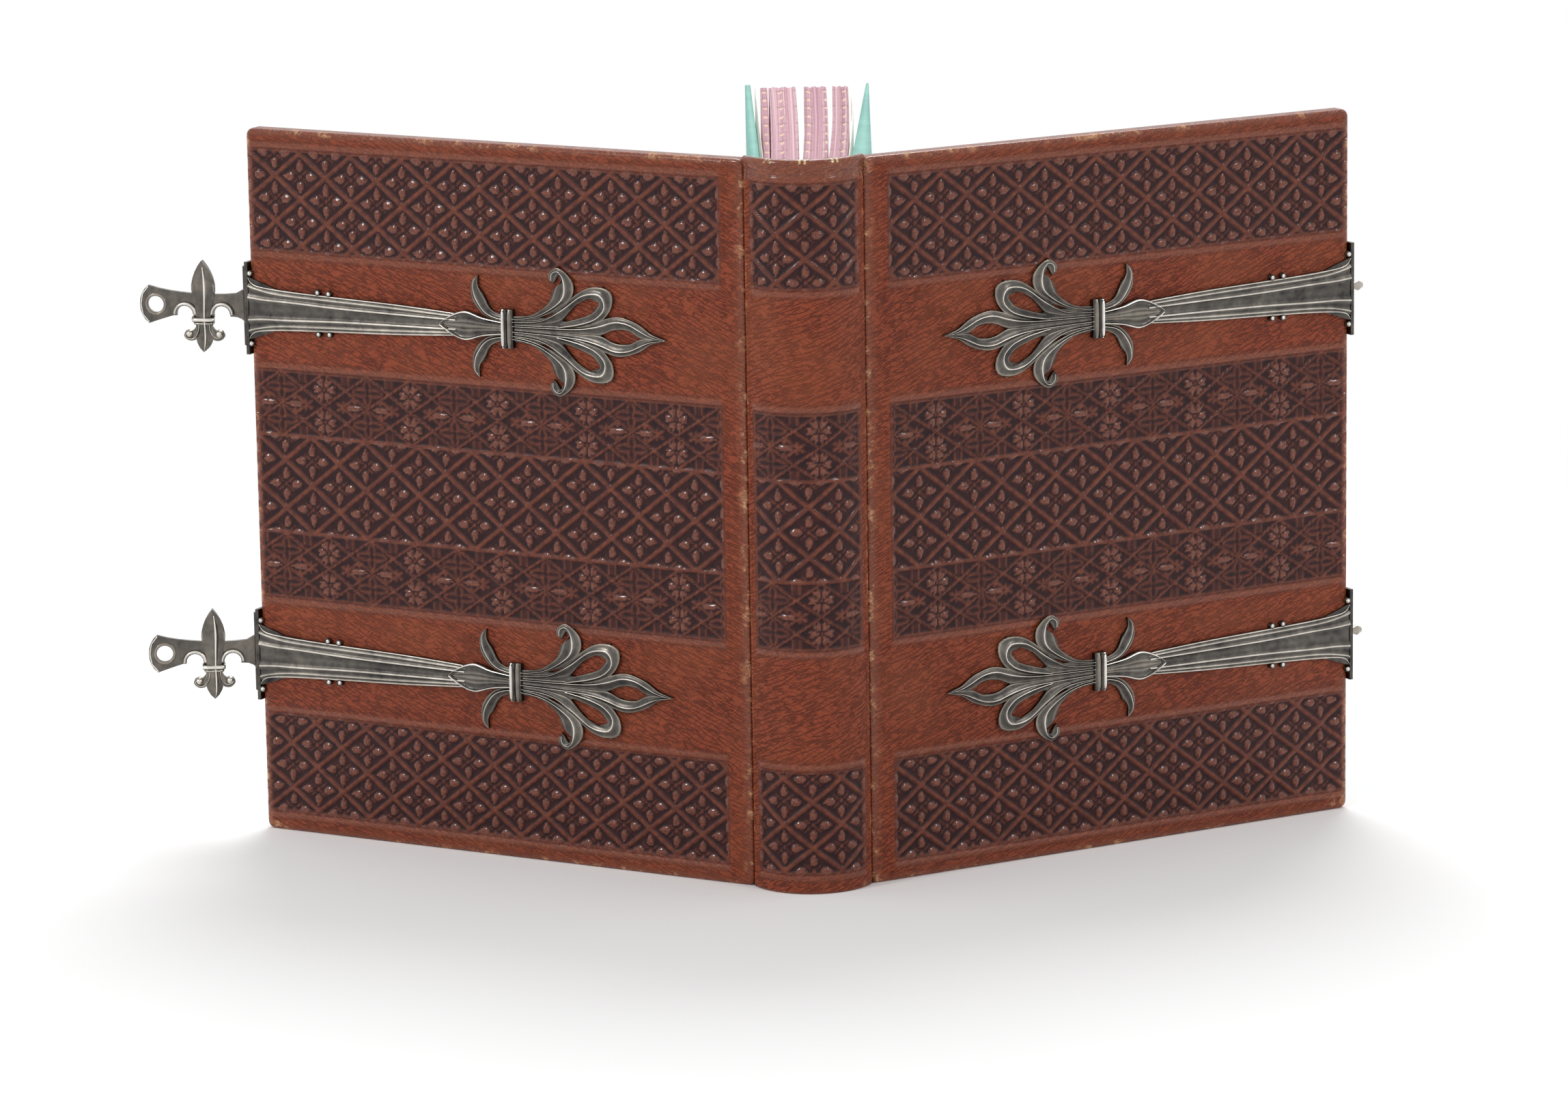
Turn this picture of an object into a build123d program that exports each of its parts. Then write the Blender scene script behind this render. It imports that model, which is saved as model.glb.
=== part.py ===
from build123d import *
import os
from math import atan2, cos, degrees, dist, hypot, radians, sin, sqrt

os.makedirs("parts", exist_ok=True)

# A book of hours in a blind-tooled leather binding with wooden boards, four cast silver straps
# and two hinged clasps. It stands open on its tail with the spine to the viewer.
# X runs along the spread covers, Y from the spine to the fore-edge of the leaves, Z up.

# Driving dimensions, in millimetres and degrees.
board_height = 190.0
board_width = 148.0  # from the joint to the fore-edge
core_thickness = 3.4
leather = 0.6
half_spine = 15.2  # from the middle of the book to each joint
spine_bulge = 9.6  # how far the round of the spine stands out from the joints
opening = 61.5  # each cover, from its closed place
board_corner = 2.0
outer_bevel = 0.9
inner_bevel = 0.4
turn_in = 14.0
joint_gap = 0.3  # leather of the cover to leather of the spine
core_setback = 0.9  # spine edge of the board from the joint
page_gap = 0.4  # closed cover to flyleaf

# Leaves.
leaf_square = 2.0  # board past the leaves at head and tail
fore_square = 2.5
fore_hollow = 0.8
flyleaf_thickness = 0.25
lining_thickness = 0.5
glue_line = 0.03  # lining to leaves
centre_gap = 1.6  # the leaves part here, at the fore-edge
side_gap = 0.8
ledge = 0.4  # shoulder of the leaves above the joint line
shoulder_gap = 0.2  # shoulder of the leaves inside the round of the back

# Sewing supports and endbands.
support_count = 4
support_height = 5.0
support_depth = 0.7
support_inset = 12.0  # degrees short of the joint, each side
support_clearance = 0.02
lacing_length = 14.0
lacing_depth = 1.0
endband_width = 1.7
endband_height = 1.5
endband_gap = 0.05
endband_inset = 14.0  # degrees short of the joint, each side
band_facets = 4  # each side of the middle
cap_roll = 1.05
cap_depth = 2.0
tail_cap_height = 1.2

# Tooling.
border = 5.0  # plain leather above and below the tooled fields
band_height = 27.0
centre_height = 61.4
large_row_height = 26.2  # the two rows of large lozenges in the middle field
inner_border = 7.0  # plain leather beside the joint
lozenge_width = 16.5
ridge_width = 0.9
tool_depth = 0.25
rule_width = 0.5
rule_depth = 0.15
rule_offset = 2.0

# Straps.
strap_offset = 47.0  # middle of a strap from the middle of the board
strap_base = 0.9
strap_ridge = 1.3
ridge_line = 0.45
collar_height = 2.3
flange_thickness = 0.95
flange_half = 12.4
flange_depth = 4.2

# Hinge knuckles and clasps.
hinge_standoff = 2.7  # hinge axis past the fore-edge
hinge_inset = 2.7  # hinge axis behind the outer face of the cover
knuckle_radius = 1.1
knuckle_half = 10.6
clasp_knuckle_half = 4.65
knuckle_gap = 0.1
hinge_pin_radius = 0.5
pin_clearance = 0.05
pin_head = 0.3  # the hinge pin stands out of its knuckles by this
clasp_back = 0.9  # back of the clasp plate from the hinge axis
clasp_front = 0.2
eye_radius = 2.2
eye_slack = 0.5  # the closed eye sits this far from the middle of the pin
upper_clasp_swing = 18.0  # past the plane of the cover, at rest
lower_clasp_swing = 32.0

# Catch pins.
ball_radius = 1.4
ball_standoff = 4.7
neck_radius = 0.8

# Worked out from the above.
outer_face = leather / 2
core_outer = -leather / 2
core_inner = core_outer - core_thickness
inner_face = core_inner - leather
spine_centre_drop = (half_spine**2 - spine_bulge**2) / (2 * spine_bulge)
spine_radius = hypot(half_spine, spine_centre_drop)
rest_radius = spine_radius + leather / 2 - cap_depth / 2
spine_y = rest_radius
joint_y = spine_y - spine_centre_drop
joint_angle = degrees(atan2(half_spine, spine_centre_drop))
leaf_half = half_spine + inner_face - page_gap
block_half = leaf_half - flyleaf_thickness
leaf_end = joint_y + board_width - fore_square
leaf_low = leaf_square
leaf_high = board_height - leaf_square
block_radius = spine_radius - leather / 2 - lining_thickness
middle = board_height / 2
hinge_x = board_width + hinge_standoff
hinge_y = outer_face - hinge_inset
clasp_reach = 2 * (half_spine + hinge_y) - eye_slack

back_joint = Plane(
    origin=(-half_spine, joint_y, 0),
    x_dir=(-sin(radians(opening)), cos(radians(opening)), 0),
    z_dir=(0, 0, 1),
)


def write(name, shape):
    shape.label = name
    export_step(shape, f"parts/{name}.step")


def block(low, high):
    """A box between two opposite corners."""
    size = [b - a for a, b in zip(low, high)]
    return Pos(*low) * Box(*size, align=(Align.MIN, Align.MIN, Align.MIN))


def back(shape):
    """From the frame of a cover to the back cover: x from the joint, y outward, z up."""
    return back_joint.location * shape


def front(shape):
    return mirror(back(shape), about=Plane.YZ)


def smooth(points, steps):
    """Evenly spaced points along a smooth curve, so that a small casting has few facets."""
    curve = Spline(*points)
    return [(p.X, p.Y) for p in (curve @ (k / steps) for k in range(steps + 1))]


def smooth_ring(points, steps):
    curve = Spline(*points, periodic=True)
    return [(p.X, p.Y) for p in (curve @ (k / steps) for k in range(steps))]


def ring_face(points, steps):
    """A face inside a closed smooth outline."""
    return make_face(Polyline(*smooth_ring(points, steps), close=True))


def between(first, second, steps):
    """A face between two smooth curves that run the same way."""
    ahead, behind = smooth(first, steps), smooth(second, steps)[::-1]
    if dist(ahead[-1], behind[0]) < 1e-6:
        behind = behind[1:]
    return make_face(Polyline(*ahead, *behind, close=True))


def mirrored_face(points, steps):
    """A face between a curve above the middle line and its mirror image."""
    upper = smooth(points, steps)
    lower = [(x, -y) for x, y in upper[::-1] if y > 1e-6]
    return make_face(Polyline(*upper, *lower, close=True))


def ribbon(points, width, steps):
    """A narrow face along a smooth curve."""
    curve = Spline(*points)
    left, right = [], []
    for k in range(steps + 1):
        at, along = curve @ (k / steps), curve % (k / steps)
        left.append((at.X - along.Y * width / 2, at.Y + along.X * width / 2))
        right.append((at.X + along.Y * width / 2, at.Y - along.X * width / 2))
    return make_face(Polyline(*left, *right[::-1], close=True))


def both(face):
    """A face and its mirror image below the middle line of a strap."""
    return face + mirror(face, about=Plane.XZ)


# Leather fields and the covers.


def lattice(low, high, left, right, half_wide, half_high, anchor):
    """The sunk lozenges of one tooled field, between raised lines that cross at its columns."""
    field = Pos((left + right) / 2, (low + high) / 2) * Rectangle(right - left, high - low)
    tilt = degrees(atan2(half_high, half_wide))
    rows = (high - low) / half_high
    span = (right - left) / half_wide + rows
    length = hypot(half_wide, half_high) * (rows + 2)
    lines = []
    for k in range(-int(span), int(span) + 1):
        foot = anchor + 2 * k * half_wide
        for side in (1, -1):
            middle_x = foot + side * half_wide * rows / 2
            if left - half_wide * rows < middle_x < right + half_wide * rows:
                turned = Rot(0, 0, side * tilt) * Rectangle(length, ridge_width)
                lines.append(Pos(middle_x, (low + high) / 2) * turned)
    return field - lines


def field_heights():
    """The low and high edge of each large-lozenge field, with its lozenge height."""
    outer = (border, border + band_height)
    centre = (middle - large_row_height / 2, middle + large_row_height / 2)
    top = (board_height - outer[1], board_height - outer[0])
    return [outer, centre, top]


def rule_heights():
    """Ruled lines across a cover, in pairs at each change from tooled to plain leather."""
    edges = [border + band_height, middle - centre_height / 2]
    rules = [edges[0] + 0.6, edges[0] + rule_offset, edges[1] - rule_offset, edges[1] - 0.6]
    return rules + [board_height - z for z in rules]


def board_tooling():
    """Everything that is pressed into the outer leather of a cover, as one sketch for each depth."""
    right = board_width - outer_bevel
    columns = round((right - inner_border) / (lozenge_width / 2))
    half_wide = (right - inner_border) / columns
    sunk = []
    for low, high in field_heights():
        anchor = inner_border + (half_wide if columns % 2 == 0 else 0)
        sunk += lattice(low, high, inner_border, right, half_wide, (high - low) / 4, anchor).faces()
    rules = [
        Pos((inner_border + right) / 2, z) * Rectangle(right - inner_border, rule_width)
        for z in rule_heights()
    ]
    rules += [
        Pos(inner_border - gap, middle) * Rectangle(rule_width, board_height - 2 * border)
        for gap in (1.0, rule_offset + 0.4)
    ]
    return sunk, rules


tooled_face = Plane(origin=(0, outer_face, 0), x_dir=(1, 0, 0), z_dir=(0, -1, 0))


def sunk_point(face):
    """A lozenge pressed in with sloping sides that meet at its middle."""
    heart = face.center() + Vector(0, 0, tool_depth)
    return tooled_face * loft([face, Vertex(heart.X, heart.Y, heart.Z)])


def support_heights():
    step = (leaf_high - leaf_low) / (support_count + 1)
    return [leaf_low + step * (k + 1) for k in range(support_count)]


def lacings():
    """Ends of the sewing supports, let into channels in the outer face of a board."""
    slips = [
        block(
            (core_setback, core_outer - lacing_depth, z - support_height / 2),
            (core_setback + lacing_length, core_outer, z + support_height / 2),
        )
        for z in support_heights()
    ]
    return Compound(slips)


def board_core():
    return block(
        (core_setback, core_inner, leather),
        (board_width - leather, core_outer, board_height - leather),
    )


def doublure():
    return block(
        (core_setback, inner_face, turn_in),
        (board_width - turn_in, core_inner, board_height - turn_in),
    )


def cover_leather():
    body = block((core_setback, inner_face, 0), (board_width, outer_face, board_height))
    corners = body.edges().filter_by(Axis.Y).group_by(Axis.X)[-1]
    body = fillet(corners, board_corner)
    for y, bevel in ((outer_face, outer_bevel), (inner_face, inner_bevel)):
        rim = [
            e
            for e in body.edges()
            if abs(e.center().Y - y) < 1e-6 and e.center().X > core_setback + 1e-3
        ]
        body = chamfer(rim, bevel)
    body += block((0, core_outer, 0), (core_setback, outer_face, board_height))
    body += Cylinder(outer_face, board_height, align=(Align.CENTER, Align.CENTER, Align.MIN))
    body -= board_core()
    body -= doublure()
    sunk, rules = board_tooling()
    body -= [sunk_point(f) for f in sunk]
    body -= [extrude(tooled_face * f, amount=rule_depth) for f in rules]
    return body


# Straps.
# Outlines are (distance from the fore-edge, distance from the middle line of the strap).

bar_edge = [(0, 8.4), (0.7, 7.2), (2.4, 6.3), (6, 5.8), (13, 5.3), (28, 4.7), (45, 4.1), (62, 3.1)]
bar_groove = [(0.5, 2.9), (13, 2.4), (30, 1.8), (45, 1.5), (60, 1.3)]
leaf_edge = [(58.6, 0), (61.4, 2.1), (66.3, 3.9), (71.5, 2.5), (78, 1.6)]
leaf_line = [(59.4, 0.1), (62.0, 1.8), (66.3, 3.4), (71.3, 2.0), (77, 1.1)]
horn_back = [(77.6, 1.6), (72.2, 2.9), (68.5, 7.0), (68.4, 11.6), (70.2, 13.4)]
horn_front = [(70.2, 13.4), (69.8, 10.6), (71.8, 8.5), (73.3, 5.3), (77.6, 3.4)]
arm_outer = [(80, 1.2), (91, 4.4), (97.4, 8.6), (98.7, 12.0), (97.2, 15.0)]
arm_outer += [(93.9, 16.9), (91.2, 14.6), (92.2, 12.5)]
arm_inner = [(80, 3.2), (86.3, 4.1), (91.3, 7.6), (93.4, 11.8), (95.4, 12.8), (95.3, 14.8)]
arm_inner += [(93.4, 15.0), (92.9, 13.0)]
loop_edge = [(86, 1.0), (93, 4.6), (98.9, 10.0), (104, 12.5), (109.2, 11.8)]
loop_edge += [(109.9, 8.0), (106.9, 3.9), (97, 1.2)]
loop_hole = [(95.1, 3.1), (99.0, 7.3), (103.7, 9.6), (106.2, 8.6), (103.6, 5.4)]
tip_edge = [(92, 2.2), (101, 2.2), (107.2, 4.3), (112.0, 5.2), (117.4, 3.7), (121.4, 1.2), (125.5, 0)]
tip_hole = [(106.3, 0), (110.3, 1.7), (114.6, 1.8), (118.4, 0), (114.6, -1.8), (110.3, -1.7)]
stem_edge = [(76.8, 3.2), (84, 3.3), (93, 3.4), (98, 2.4)]
collar_from, collar_to, collar_half = 77.3, 80.7, 5.1
collar_step = 0.35  # the second rib is lower than the first
collar_edge = 0.4
scroll_places = (21.4, 24.8)
scroll_radius = 0.85
scroll_offset = 0.6  # middle of a scroll outside the edge of the bar
bead_place = (0.6, 9.4)
bead_radius = 0.8


def raised(face, height):
    return extrude(face, amount=height)


def pierced_limbs():
    """The horns, arms and loops that spring from the collar, and the leaf at the tip."""
    limbs = both(between(horn_back, horn_front[::-1], 5))
    limbs += both(between(arm_outer, arm_inner, 8))
    limbs += both(ring_face(loop_edge, 12))
    limbs += mirrored_face(stem_edge, 4)
    limbs += mirrored_face(tip_edge, 8)
    limbs -= both(ring_face(loop_hole, 8))
    limbs -= ring_face(tip_hole, 8)
    return limbs


def strap_ornament():
    """The casting of one strap, lying on the plane of its outlines."""
    solid = raised(mirrored_face(bar_edge, 7), strap_base)
    solid += raised(pierced_limbs(), strap_base)
    solid += raised(mirrored_face(leaf_edge, 7), strap_ridge)
    solid += raised(both(ribbon(bar_groove, ridge_line, 3)), strap_ridge)
    solid += raised(both(ribbon(leaf_line, ridge_line, 6)), 2 * strap_ridge - strap_base)
    for s in scroll_places:
        offset = bar_half_at(s) + scroll_offset
        for side in (1, -1):
            solid += Pos(s, side * offset) * raised(RegularPolygon(scroll_radius, 8), strap_ridge)
    for side in (1, -1):
        bead = raised(RegularPolygon(bead_radius, 8), strap_ridge)
        solid += Pos(bead_place[0], side * bead_place[1]) * bead
    return solid + collar()


def bar_half_at(s):
    """Half the width of the bar at a distance from the fore-edge."""
    for (x0, y0), (x1, y1) in zip(bar_edge, bar_edge[1:]):
        if x0 <= s <= x1:
            return y0 + (y1 - y0) * (s - x0) / (x1 - x0)
    return bar_edge[-1][1]


def collar():
    """Two ribs that bind the stems together."""
    split = (collar_from + collar_to) / 2
    ribs = None
    second_height = collar_height - collar_step
    for low, high, top in ((collar_from, split, collar_height), (split, collar_to, second_height)):
        rib = block((low, -collar_half, 0), (high, collar_half, top))
        rib = chamfer(rib.faces().sort_by(Axis.Z)[-1].edges(), collar_edge)
        ribs = rib if ribs is None else ribs + rib
    return ribs


def strap(ornament, height, knuckled):
    """One strap in the frame of its cover, with its flange round the fore-edge."""
    seat = Plane(origin=(board_width, outer_face, height), x_dir=(-1, 0, 0), z_dir=(0, 1, 0))
    solid = seat.location * ornament
    solid += block(
        (board_width, outer_face - flange_depth, height - flange_half),
        (board_width + flange_thickness, outer_face + strap_ridge, height + flange_half),
    )
    if knuckled:
        for side in (1, -1):
            low = clasp_knuckle_half + knuckle_gap
            long = knuckle_half - low
            centre = height + side * (low + long / 2)
            solid += Pos(hinge_x, hinge_y, centre) * Cylinder(knuckle_radius, long)
            web = Box(hinge_standoff, knuckle_radius, long)
            solid += Pos((board_width + hinge_x) / 2, hinge_y, centre) * web
        solid -= Pos(hinge_x, hinge_y, height) * Cylinder(hinge_pin_radius + pin_clearance, 3 * knuckle_half)
    else:
        solid -= catch_pin(height)
    return solid


def catch_pin(height):
    """A ball-headed pin riveted through the flange on the fore-edge of the front cover."""
    low, high = ball_standoff - ball_radius, ball_standoff + ball_radius
    profile = Polyline(
        (0, 0),
        (neck_radius, 0),
        (neck_radius, low),
        (ball_radius, ball_standoff),
        (ball_radius / 2, high),
        (0, high),
        close=True,
    )
    pin = revolve(Plane.XZ * make_face(profile), axis=Axis.Z)
    return Pos(board_width, hinge_y, height) * Rot(0, 90, 0) * pin


def hinge_pin(height):
    return Pos(hinge_x, hinge_y, height) * Cylinder(hinge_pin_radius, 2 * (knuckle_half + pin_head))


# Clasps.
# Outlines are (distance from the hinge axis, height above the middle of the clasp).
# The eye is at clasp_reach, and the lily stands half way along the arm.

lily = clasp_reach * 0.48
arch = 5.05  # middle of each arch from the middle of the lily
arch_radius = 2.3
petal = [(0, 12.0), (2.0, 9.0), (3.15, 5.0), (2.6, 0.5), (2.0, -3.6)]
foot_petal = [(1.9, -4.4), (2.4, -8.0), (1.7, -10.8), (0, -12.6)]
lily_collar_low, lily_collar_high, lily_collar = -5.1, -3.1, 2.7
lily_collar_top = 0.9
arch_height = -2.5
arch_rib = 1.0
rib_height = 0.6  # of the arches, above the face of the arm
petal_top = 1.5
foot_top = 1.2
curl_radius = 1.0


def sided_face(points, centre, steps):
    """A face between a curve right of a standing line and its mirror image."""
    curve = smooth(points, steps)
    right = [(centre + x, y) for x, y in curve]
    left = [(centre - x, y) for x, y in curve[::-1] if x > 1e-6]
    return make_face(Polyline(*right, *left, close=True))


def roofed(face, centre, half, eaves, top):
    """A leaf with a sharp rib down its middle: its outline cut from a roof."""
    body = Pos(0, 0, -clasp_back) * extrude(face, amount=clasp_back + top)
    roof = Polyline(
        (centre - half, -clasp_back),
        (centre + half, -clasp_back),
        (centre + half, eaves),
        (centre, top),
        (centre - half, eaves),
        close=True,
    )
    return body & extrude(Plane.XZ * make_face(roof), amount=20, both=True)


def clasp_arm():
    """The flat of the clasp: the eye plate and the arm, with an arch each side of the lily."""
    reach = clasp_reach
    top = [(reach + 1.9, 5.1), (reach - 2.4, 4.0), (reach - 6.5, 3.4), (4.9, 3.0), (2.4, 3.4), (0.6, 4.6)]
    low = [(0.6, -4.6), (2.0, -3.5), (4.2, -3.1)]
    under = [(reach - 4.9, -2.9), (reach - 2.6, -3.6), (reach + 1.9, -5.1)]
    end = [(reach + x, y) for x, y in ((1.9, -5.1), (3.7, -2.9), (4.3, 0), (3.7, 2.9), (1.9, 5.1))]
    edge = smooth(top, 9) + smooth(low, 3) + smooth(under, 4) + smooth(end, 8)[1:-1]
    arm = make_face(Polyline(*edge, close=True))
    arm -= Pos(reach, 0) * Circle(eye_radius)
    for side in (1, -1):
        arm -= Pos(lily + side * arch, arch_height) * RegularPolygon(arch_radius, 16)
    return arm


def clasp_casting():
    """The clasp with x along its arm, y up and z to its face."""
    plate = Pos(0, 0, -clasp_back) * extrude(clasp_arm(), amount=clasp_back + clasp_front)
    for side in (1, -1):
        at = Pos(lily + side * arch, arch_height)
        ring = RegularPolygon(arch_radius + arch_rib, 16) - RegularPolygon(arch_radius, 16)
        ring &= Pos(0, 2) * Rectangle(4 * arch_radius, 4)
        plate += at * extrude(ring, amount=clasp_front + rib_height)
    plate += roofed(sided_face(petal, lily, 9), lily, 3.3, clasp_front, petal_top)
    plate += roofed(sided_face(foot_petal, lily, 6), lily, 2.6, 0, foot_top)
    half = (lily_collar_high - lily_collar_low) / 2
    band = block(
        (lily - lily_collar, lily_collar_low, -clasp_back),
        (lily + lily_collar, lily_collar_high, lily_collar_top),
    )
    band = chamfer(band.faces().sort_by(Axis.Z)[-1].edges().filter_by(Axis.X), half * 0.6)
    plate += band
    for side in (1, -1):
        line = [(lily + side * 1.2, -5.0), (lily + side * 3.0, -7.6), (lily + side * 4.2, -8.2)]
        curl = ribbon(line, 1.1, 4)
        plate += Pos(0, 0, -clasp_back) * extrude(curl, amount=clasp_back + clasp_front)
        knob = Pos(lily + side * 4.4, -8.1) * RegularPolygon(curl_radius, 8)
        plate += Pos(0, 0, -clasp_back) * extrude(knob, amount=clasp_back + clasp_front + 0.3)
    plate += Rot(90, 0, 0) * Cylinder(knuckle_radius, 2 * clasp_knuckle_half)
    plate -= Rot(90, 0, 0) * Cylinder(hinge_pin_radius + pin_clearance, 4 * clasp_knuckle_half)
    return plate


def clasp(casting, height, swing):
    """A clasp on its hinge, swung past the plane of the back cover."""
    angle = radians(90 + opening + swing)
    at = back_joint.location * Pos(hinge_x, hinge_y, height)
    along = (cos(angle), sin(angle), 0)
    face = (-sin(angle), cos(angle), 0)
    frame = Plane(origin=at.position, x_dir=along, z_dir=face)
    return frame.location * casting


# The leaves and the spine.


def ring_sector(inner, outer, low, high, half_angle):
    """Part of a ring about the centre of the spine's round, open towards the leaves."""
    face = make_face(
        Polyline((inner, low), (outer, low), (outer, high), (inner, high), close=True)
    )
    return turned(face, half_angle)


def turned(face, half_angle):
    """A section of radius and height turned about the centre of the spine's round."""
    section = Plane.XZ * face
    whole = revolve(section, axis=Axis.Z, revolution_arc=2 * half_angle)
    return Pos(0, spine_y, 0) * Rot(0, 0, -90 - half_angle) * whole


def joint_swings(radius, low, high):
    """The round space about each joint that its cover needs."""
    hole = Cylinder(radius, high - low, align=(Align.CENTER, Align.CENTER, Align.MIN))
    return [Pos(side * half_spine, joint_y, low) * hole for side in (1, -1)]


def past_joint(low, high):
    """The space beyond the joint line that the covers sweep."""
    deep = board_width
    return block((-deep, joint_y + ledge, low), (deep, joint_y + deep, high))


def spine_leather():
    skin = make_face(
        Polyline(
            (spine_radius - leather / 2, 0),
            (spine_radius + leather / 2, 0),
            (spine_radius + leather / 2, board_height),
            (spine_radius - leather / 2, board_height),
            close=True,
        )
    )
    skin += Pos(spine_radius - 0.45, board_height + 0.2) * RegularPolygon(cap_roll, 6)
    skin += Pos(spine_radius + leather / 2 - cap_depth / 2, tail_cap_height / 2) * Rectangle(
        cap_depth, tail_cap_height
    )
    solid = turned(skin, joint_angle)
    solid -= past_joint(-1, board_height + 5)
    for hole in joint_swings(outer_face + joint_gap, -1, board_height + 5):
        solid -= hole
    return solid


def spine_lining():
    solid = ring_sector(block_radius, block_radius + lining_thickness, leaf_low, leaf_high, joint_angle)
    solid -= past_joint(0, board_height)
    for hole in joint_swings(outer_face + joint_gap + 0.4, 0, board_height):
        solid -= hole
    return solid


def faceted_band(inner, outer, low, high, half_angle):
    """Part of a flat-sided ring, for the small strips that follow the round of the back."""
    turns = [radians(half_angle * k / band_facets) for k in range(-band_facets, band_facets + 1)]
    outline = [(outer * sin(t), spine_y - outer * cos(t)) for t in turns]
    outline += [(inner * sin(t), spine_y - inner * cos(t)) for t in turns[::-1]]
    return Pos(0, 0, low) * extrude(make_face(Polyline(*outline, close=True)), amount=high - low)


def sewing_supports():
    half = joint_angle - support_inset
    inner = block_radius - support_depth
    outer = block_radius - glue_line - support_clearance
    half_height = support_height / 2
    bands = [
        faceted_band(inner, outer, z - half_height, z + half_height, half) for z in support_heights()
    ]
    return Compound(bands)


def text_block():
    drop = spine_y - joint_y - ledge
    radius = block_radius - glue_line
    shoulder = sqrt(radius**2 - drop**2) - shoulder_gap
    shoulder_y = joint_y + ledge
    back_y = spine_y - sqrt(radius**2 - shoulder**2)
    outline = make_face(
        [
            Line((-block_half, leaf_end), (-block_half, shoulder_y)),
            Line((-block_half, shoulder_y), (-shoulder, shoulder_y)),
            Line((-shoulder, shoulder_y), (-shoulder, back_y)),
            ThreePointArc((-shoulder, back_y), (0, spine_y - radius), (shoulder, back_y)),
            Line((shoulder, back_y), (shoulder, shoulder_y)),
            Line((shoulder, shoulder_y), (block_half, shoulder_y)),
            Line((block_half, shoulder_y), (block_half, leaf_end)),
            ThreePointArc((block_half, leaf_end), (0, leaf_end - fore_hollow), (-block_half, leaf_end)),
        ]
    )
    solid = Pos(0, 0, leaf_low) * extrude(outline, amount=leaf_high - leaf_low)
    for centre, gap in ((0.5, centre_gap), (block_half * 0.55, side_gap)):
        wedge = make_face(
            Polyline(
                (centre, joint_y + 6),
                (centre + gap / 2, leaf_end + 2),
                (centre - gap / 2, leaf_end + 2),
                close=True,
            )
        )
        solid -= Pos(0, 0, leaf_low) * extrude(wedge, amount=leaf_high - leaf_low)
    solid -= sewing_supports()
    return solid


def flyleaf(side):
    low_x, high_x = sorted((side * block_half, side * leaf_half))
    return block((low_x, joint_y + ledge + 1, leaf_low), (high_x, leaf_end, leaf_high))


def endband(low, high):
    outer = spine_radius + leather / 2 - cap_depth - endband_gap
    return faceted_band(outer - endband_width, outer, low, high, joint_angle - endband_inset)


def main():
    write("text_block", text_block())
    write("sewing_supports", sewing_supports())
    write("spine_lining", spine_lining())
    write("spine_leather", spine_leather())
    write("head_endband", endband(leaf_high, leaf_high + endband_height))
    write("tail_endband", endband(leaf_low - endband_height, leaf_low))
    write("front_flyleaf", flyleaf(1))
    write("back_flyleaf", flyleaf(-1))

    heights = {"upper": middle + strap_offset, "lower": middle - strap_offset}
    cover, core, ornament = cover_leather(), board_core() - lacings(), strap_ornament()
    for side, place, knuckled in (("front", front, False), ("back", back, True)):
        write(f"{side}_leather", place(cover))
        write(f"{side}_board", place(core))
        write(f"{side}_doublure", place(doublure()))
        write(f"{side}_lacings", place(lacings()))
        for name, height in heights.items():
            write(f"{side}_{name}_strap", place(strap(ornament, height, knuckled)))
    casting = mirror(clasp_casting(), about=Plane.XZ)  # y points down in the frame of a clasp
    swings = {"upper": upper_clasp_swing, "lower": lower_clasp_swing}
    for name, height in heights.items():
        write(f"{name}_catch_pin", front(catch_pin(height)))
        write(f"{name}_hinge_pin", back(hinge_pin(height)))
        write(f"{name}_clasp", clasp(casting, height, swings[name]))


main()
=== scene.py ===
import math
import bpy
import numpy as np
from mathutils import Matrix, Vector


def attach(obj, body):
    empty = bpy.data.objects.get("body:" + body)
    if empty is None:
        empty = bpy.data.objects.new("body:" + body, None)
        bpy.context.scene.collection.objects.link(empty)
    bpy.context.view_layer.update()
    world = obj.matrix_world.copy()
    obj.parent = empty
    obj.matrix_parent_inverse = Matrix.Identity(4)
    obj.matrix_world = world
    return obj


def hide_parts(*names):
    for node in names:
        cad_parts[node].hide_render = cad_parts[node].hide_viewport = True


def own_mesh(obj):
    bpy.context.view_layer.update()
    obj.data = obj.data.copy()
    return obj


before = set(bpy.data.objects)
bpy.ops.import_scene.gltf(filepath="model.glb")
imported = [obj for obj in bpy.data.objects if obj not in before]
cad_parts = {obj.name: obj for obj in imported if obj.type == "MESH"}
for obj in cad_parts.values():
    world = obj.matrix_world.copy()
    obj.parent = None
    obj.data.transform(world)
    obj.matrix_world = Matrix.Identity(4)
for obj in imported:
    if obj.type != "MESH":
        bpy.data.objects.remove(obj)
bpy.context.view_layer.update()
print("frame loaded,", len(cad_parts), "nodes")

mm = 0.001  # every length below is in millimetres
book = {  # the sizes of the solids; reach is from the hinge of a clasp to the middle of its eye
    "halfSpine": 15.2, "jointY": 8.9, "opening": 61.5, "height": 190.0, "width": 148.0,
    "outerFace": 0.3, "innerFace": -4.3, "spineCentre": 16.133, "spineRadius": 17.133, "spineAngle": 63.4,
    "strapOffset": 47.0, "hingeX": 150.7, "hingeY": -2.4, "reach": 25.1, "leafEnd": 154.4,
}
openAngle = math.radians(book["opening"])
sinOpen, cosOpen = math.sin(openAngle), math.cos(openAngle)


def paint(red, green, blue):  # a colour as a paint program shows it, made linear
    parts = (red, green, blue)
    return tuple(((c / 255 + 0.055) / 1.055) ** 2.4 if c > 10 else c / 3294 for c in parts) + (1.0,)


def fade(value, low, high):  # 0 below low, 1 above high, smooth between
    t = np.clip((value - low) / (high - low), 0, 1)
    return t * t * (3 - 2 * t)


# Shader sockets and materials

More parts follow.
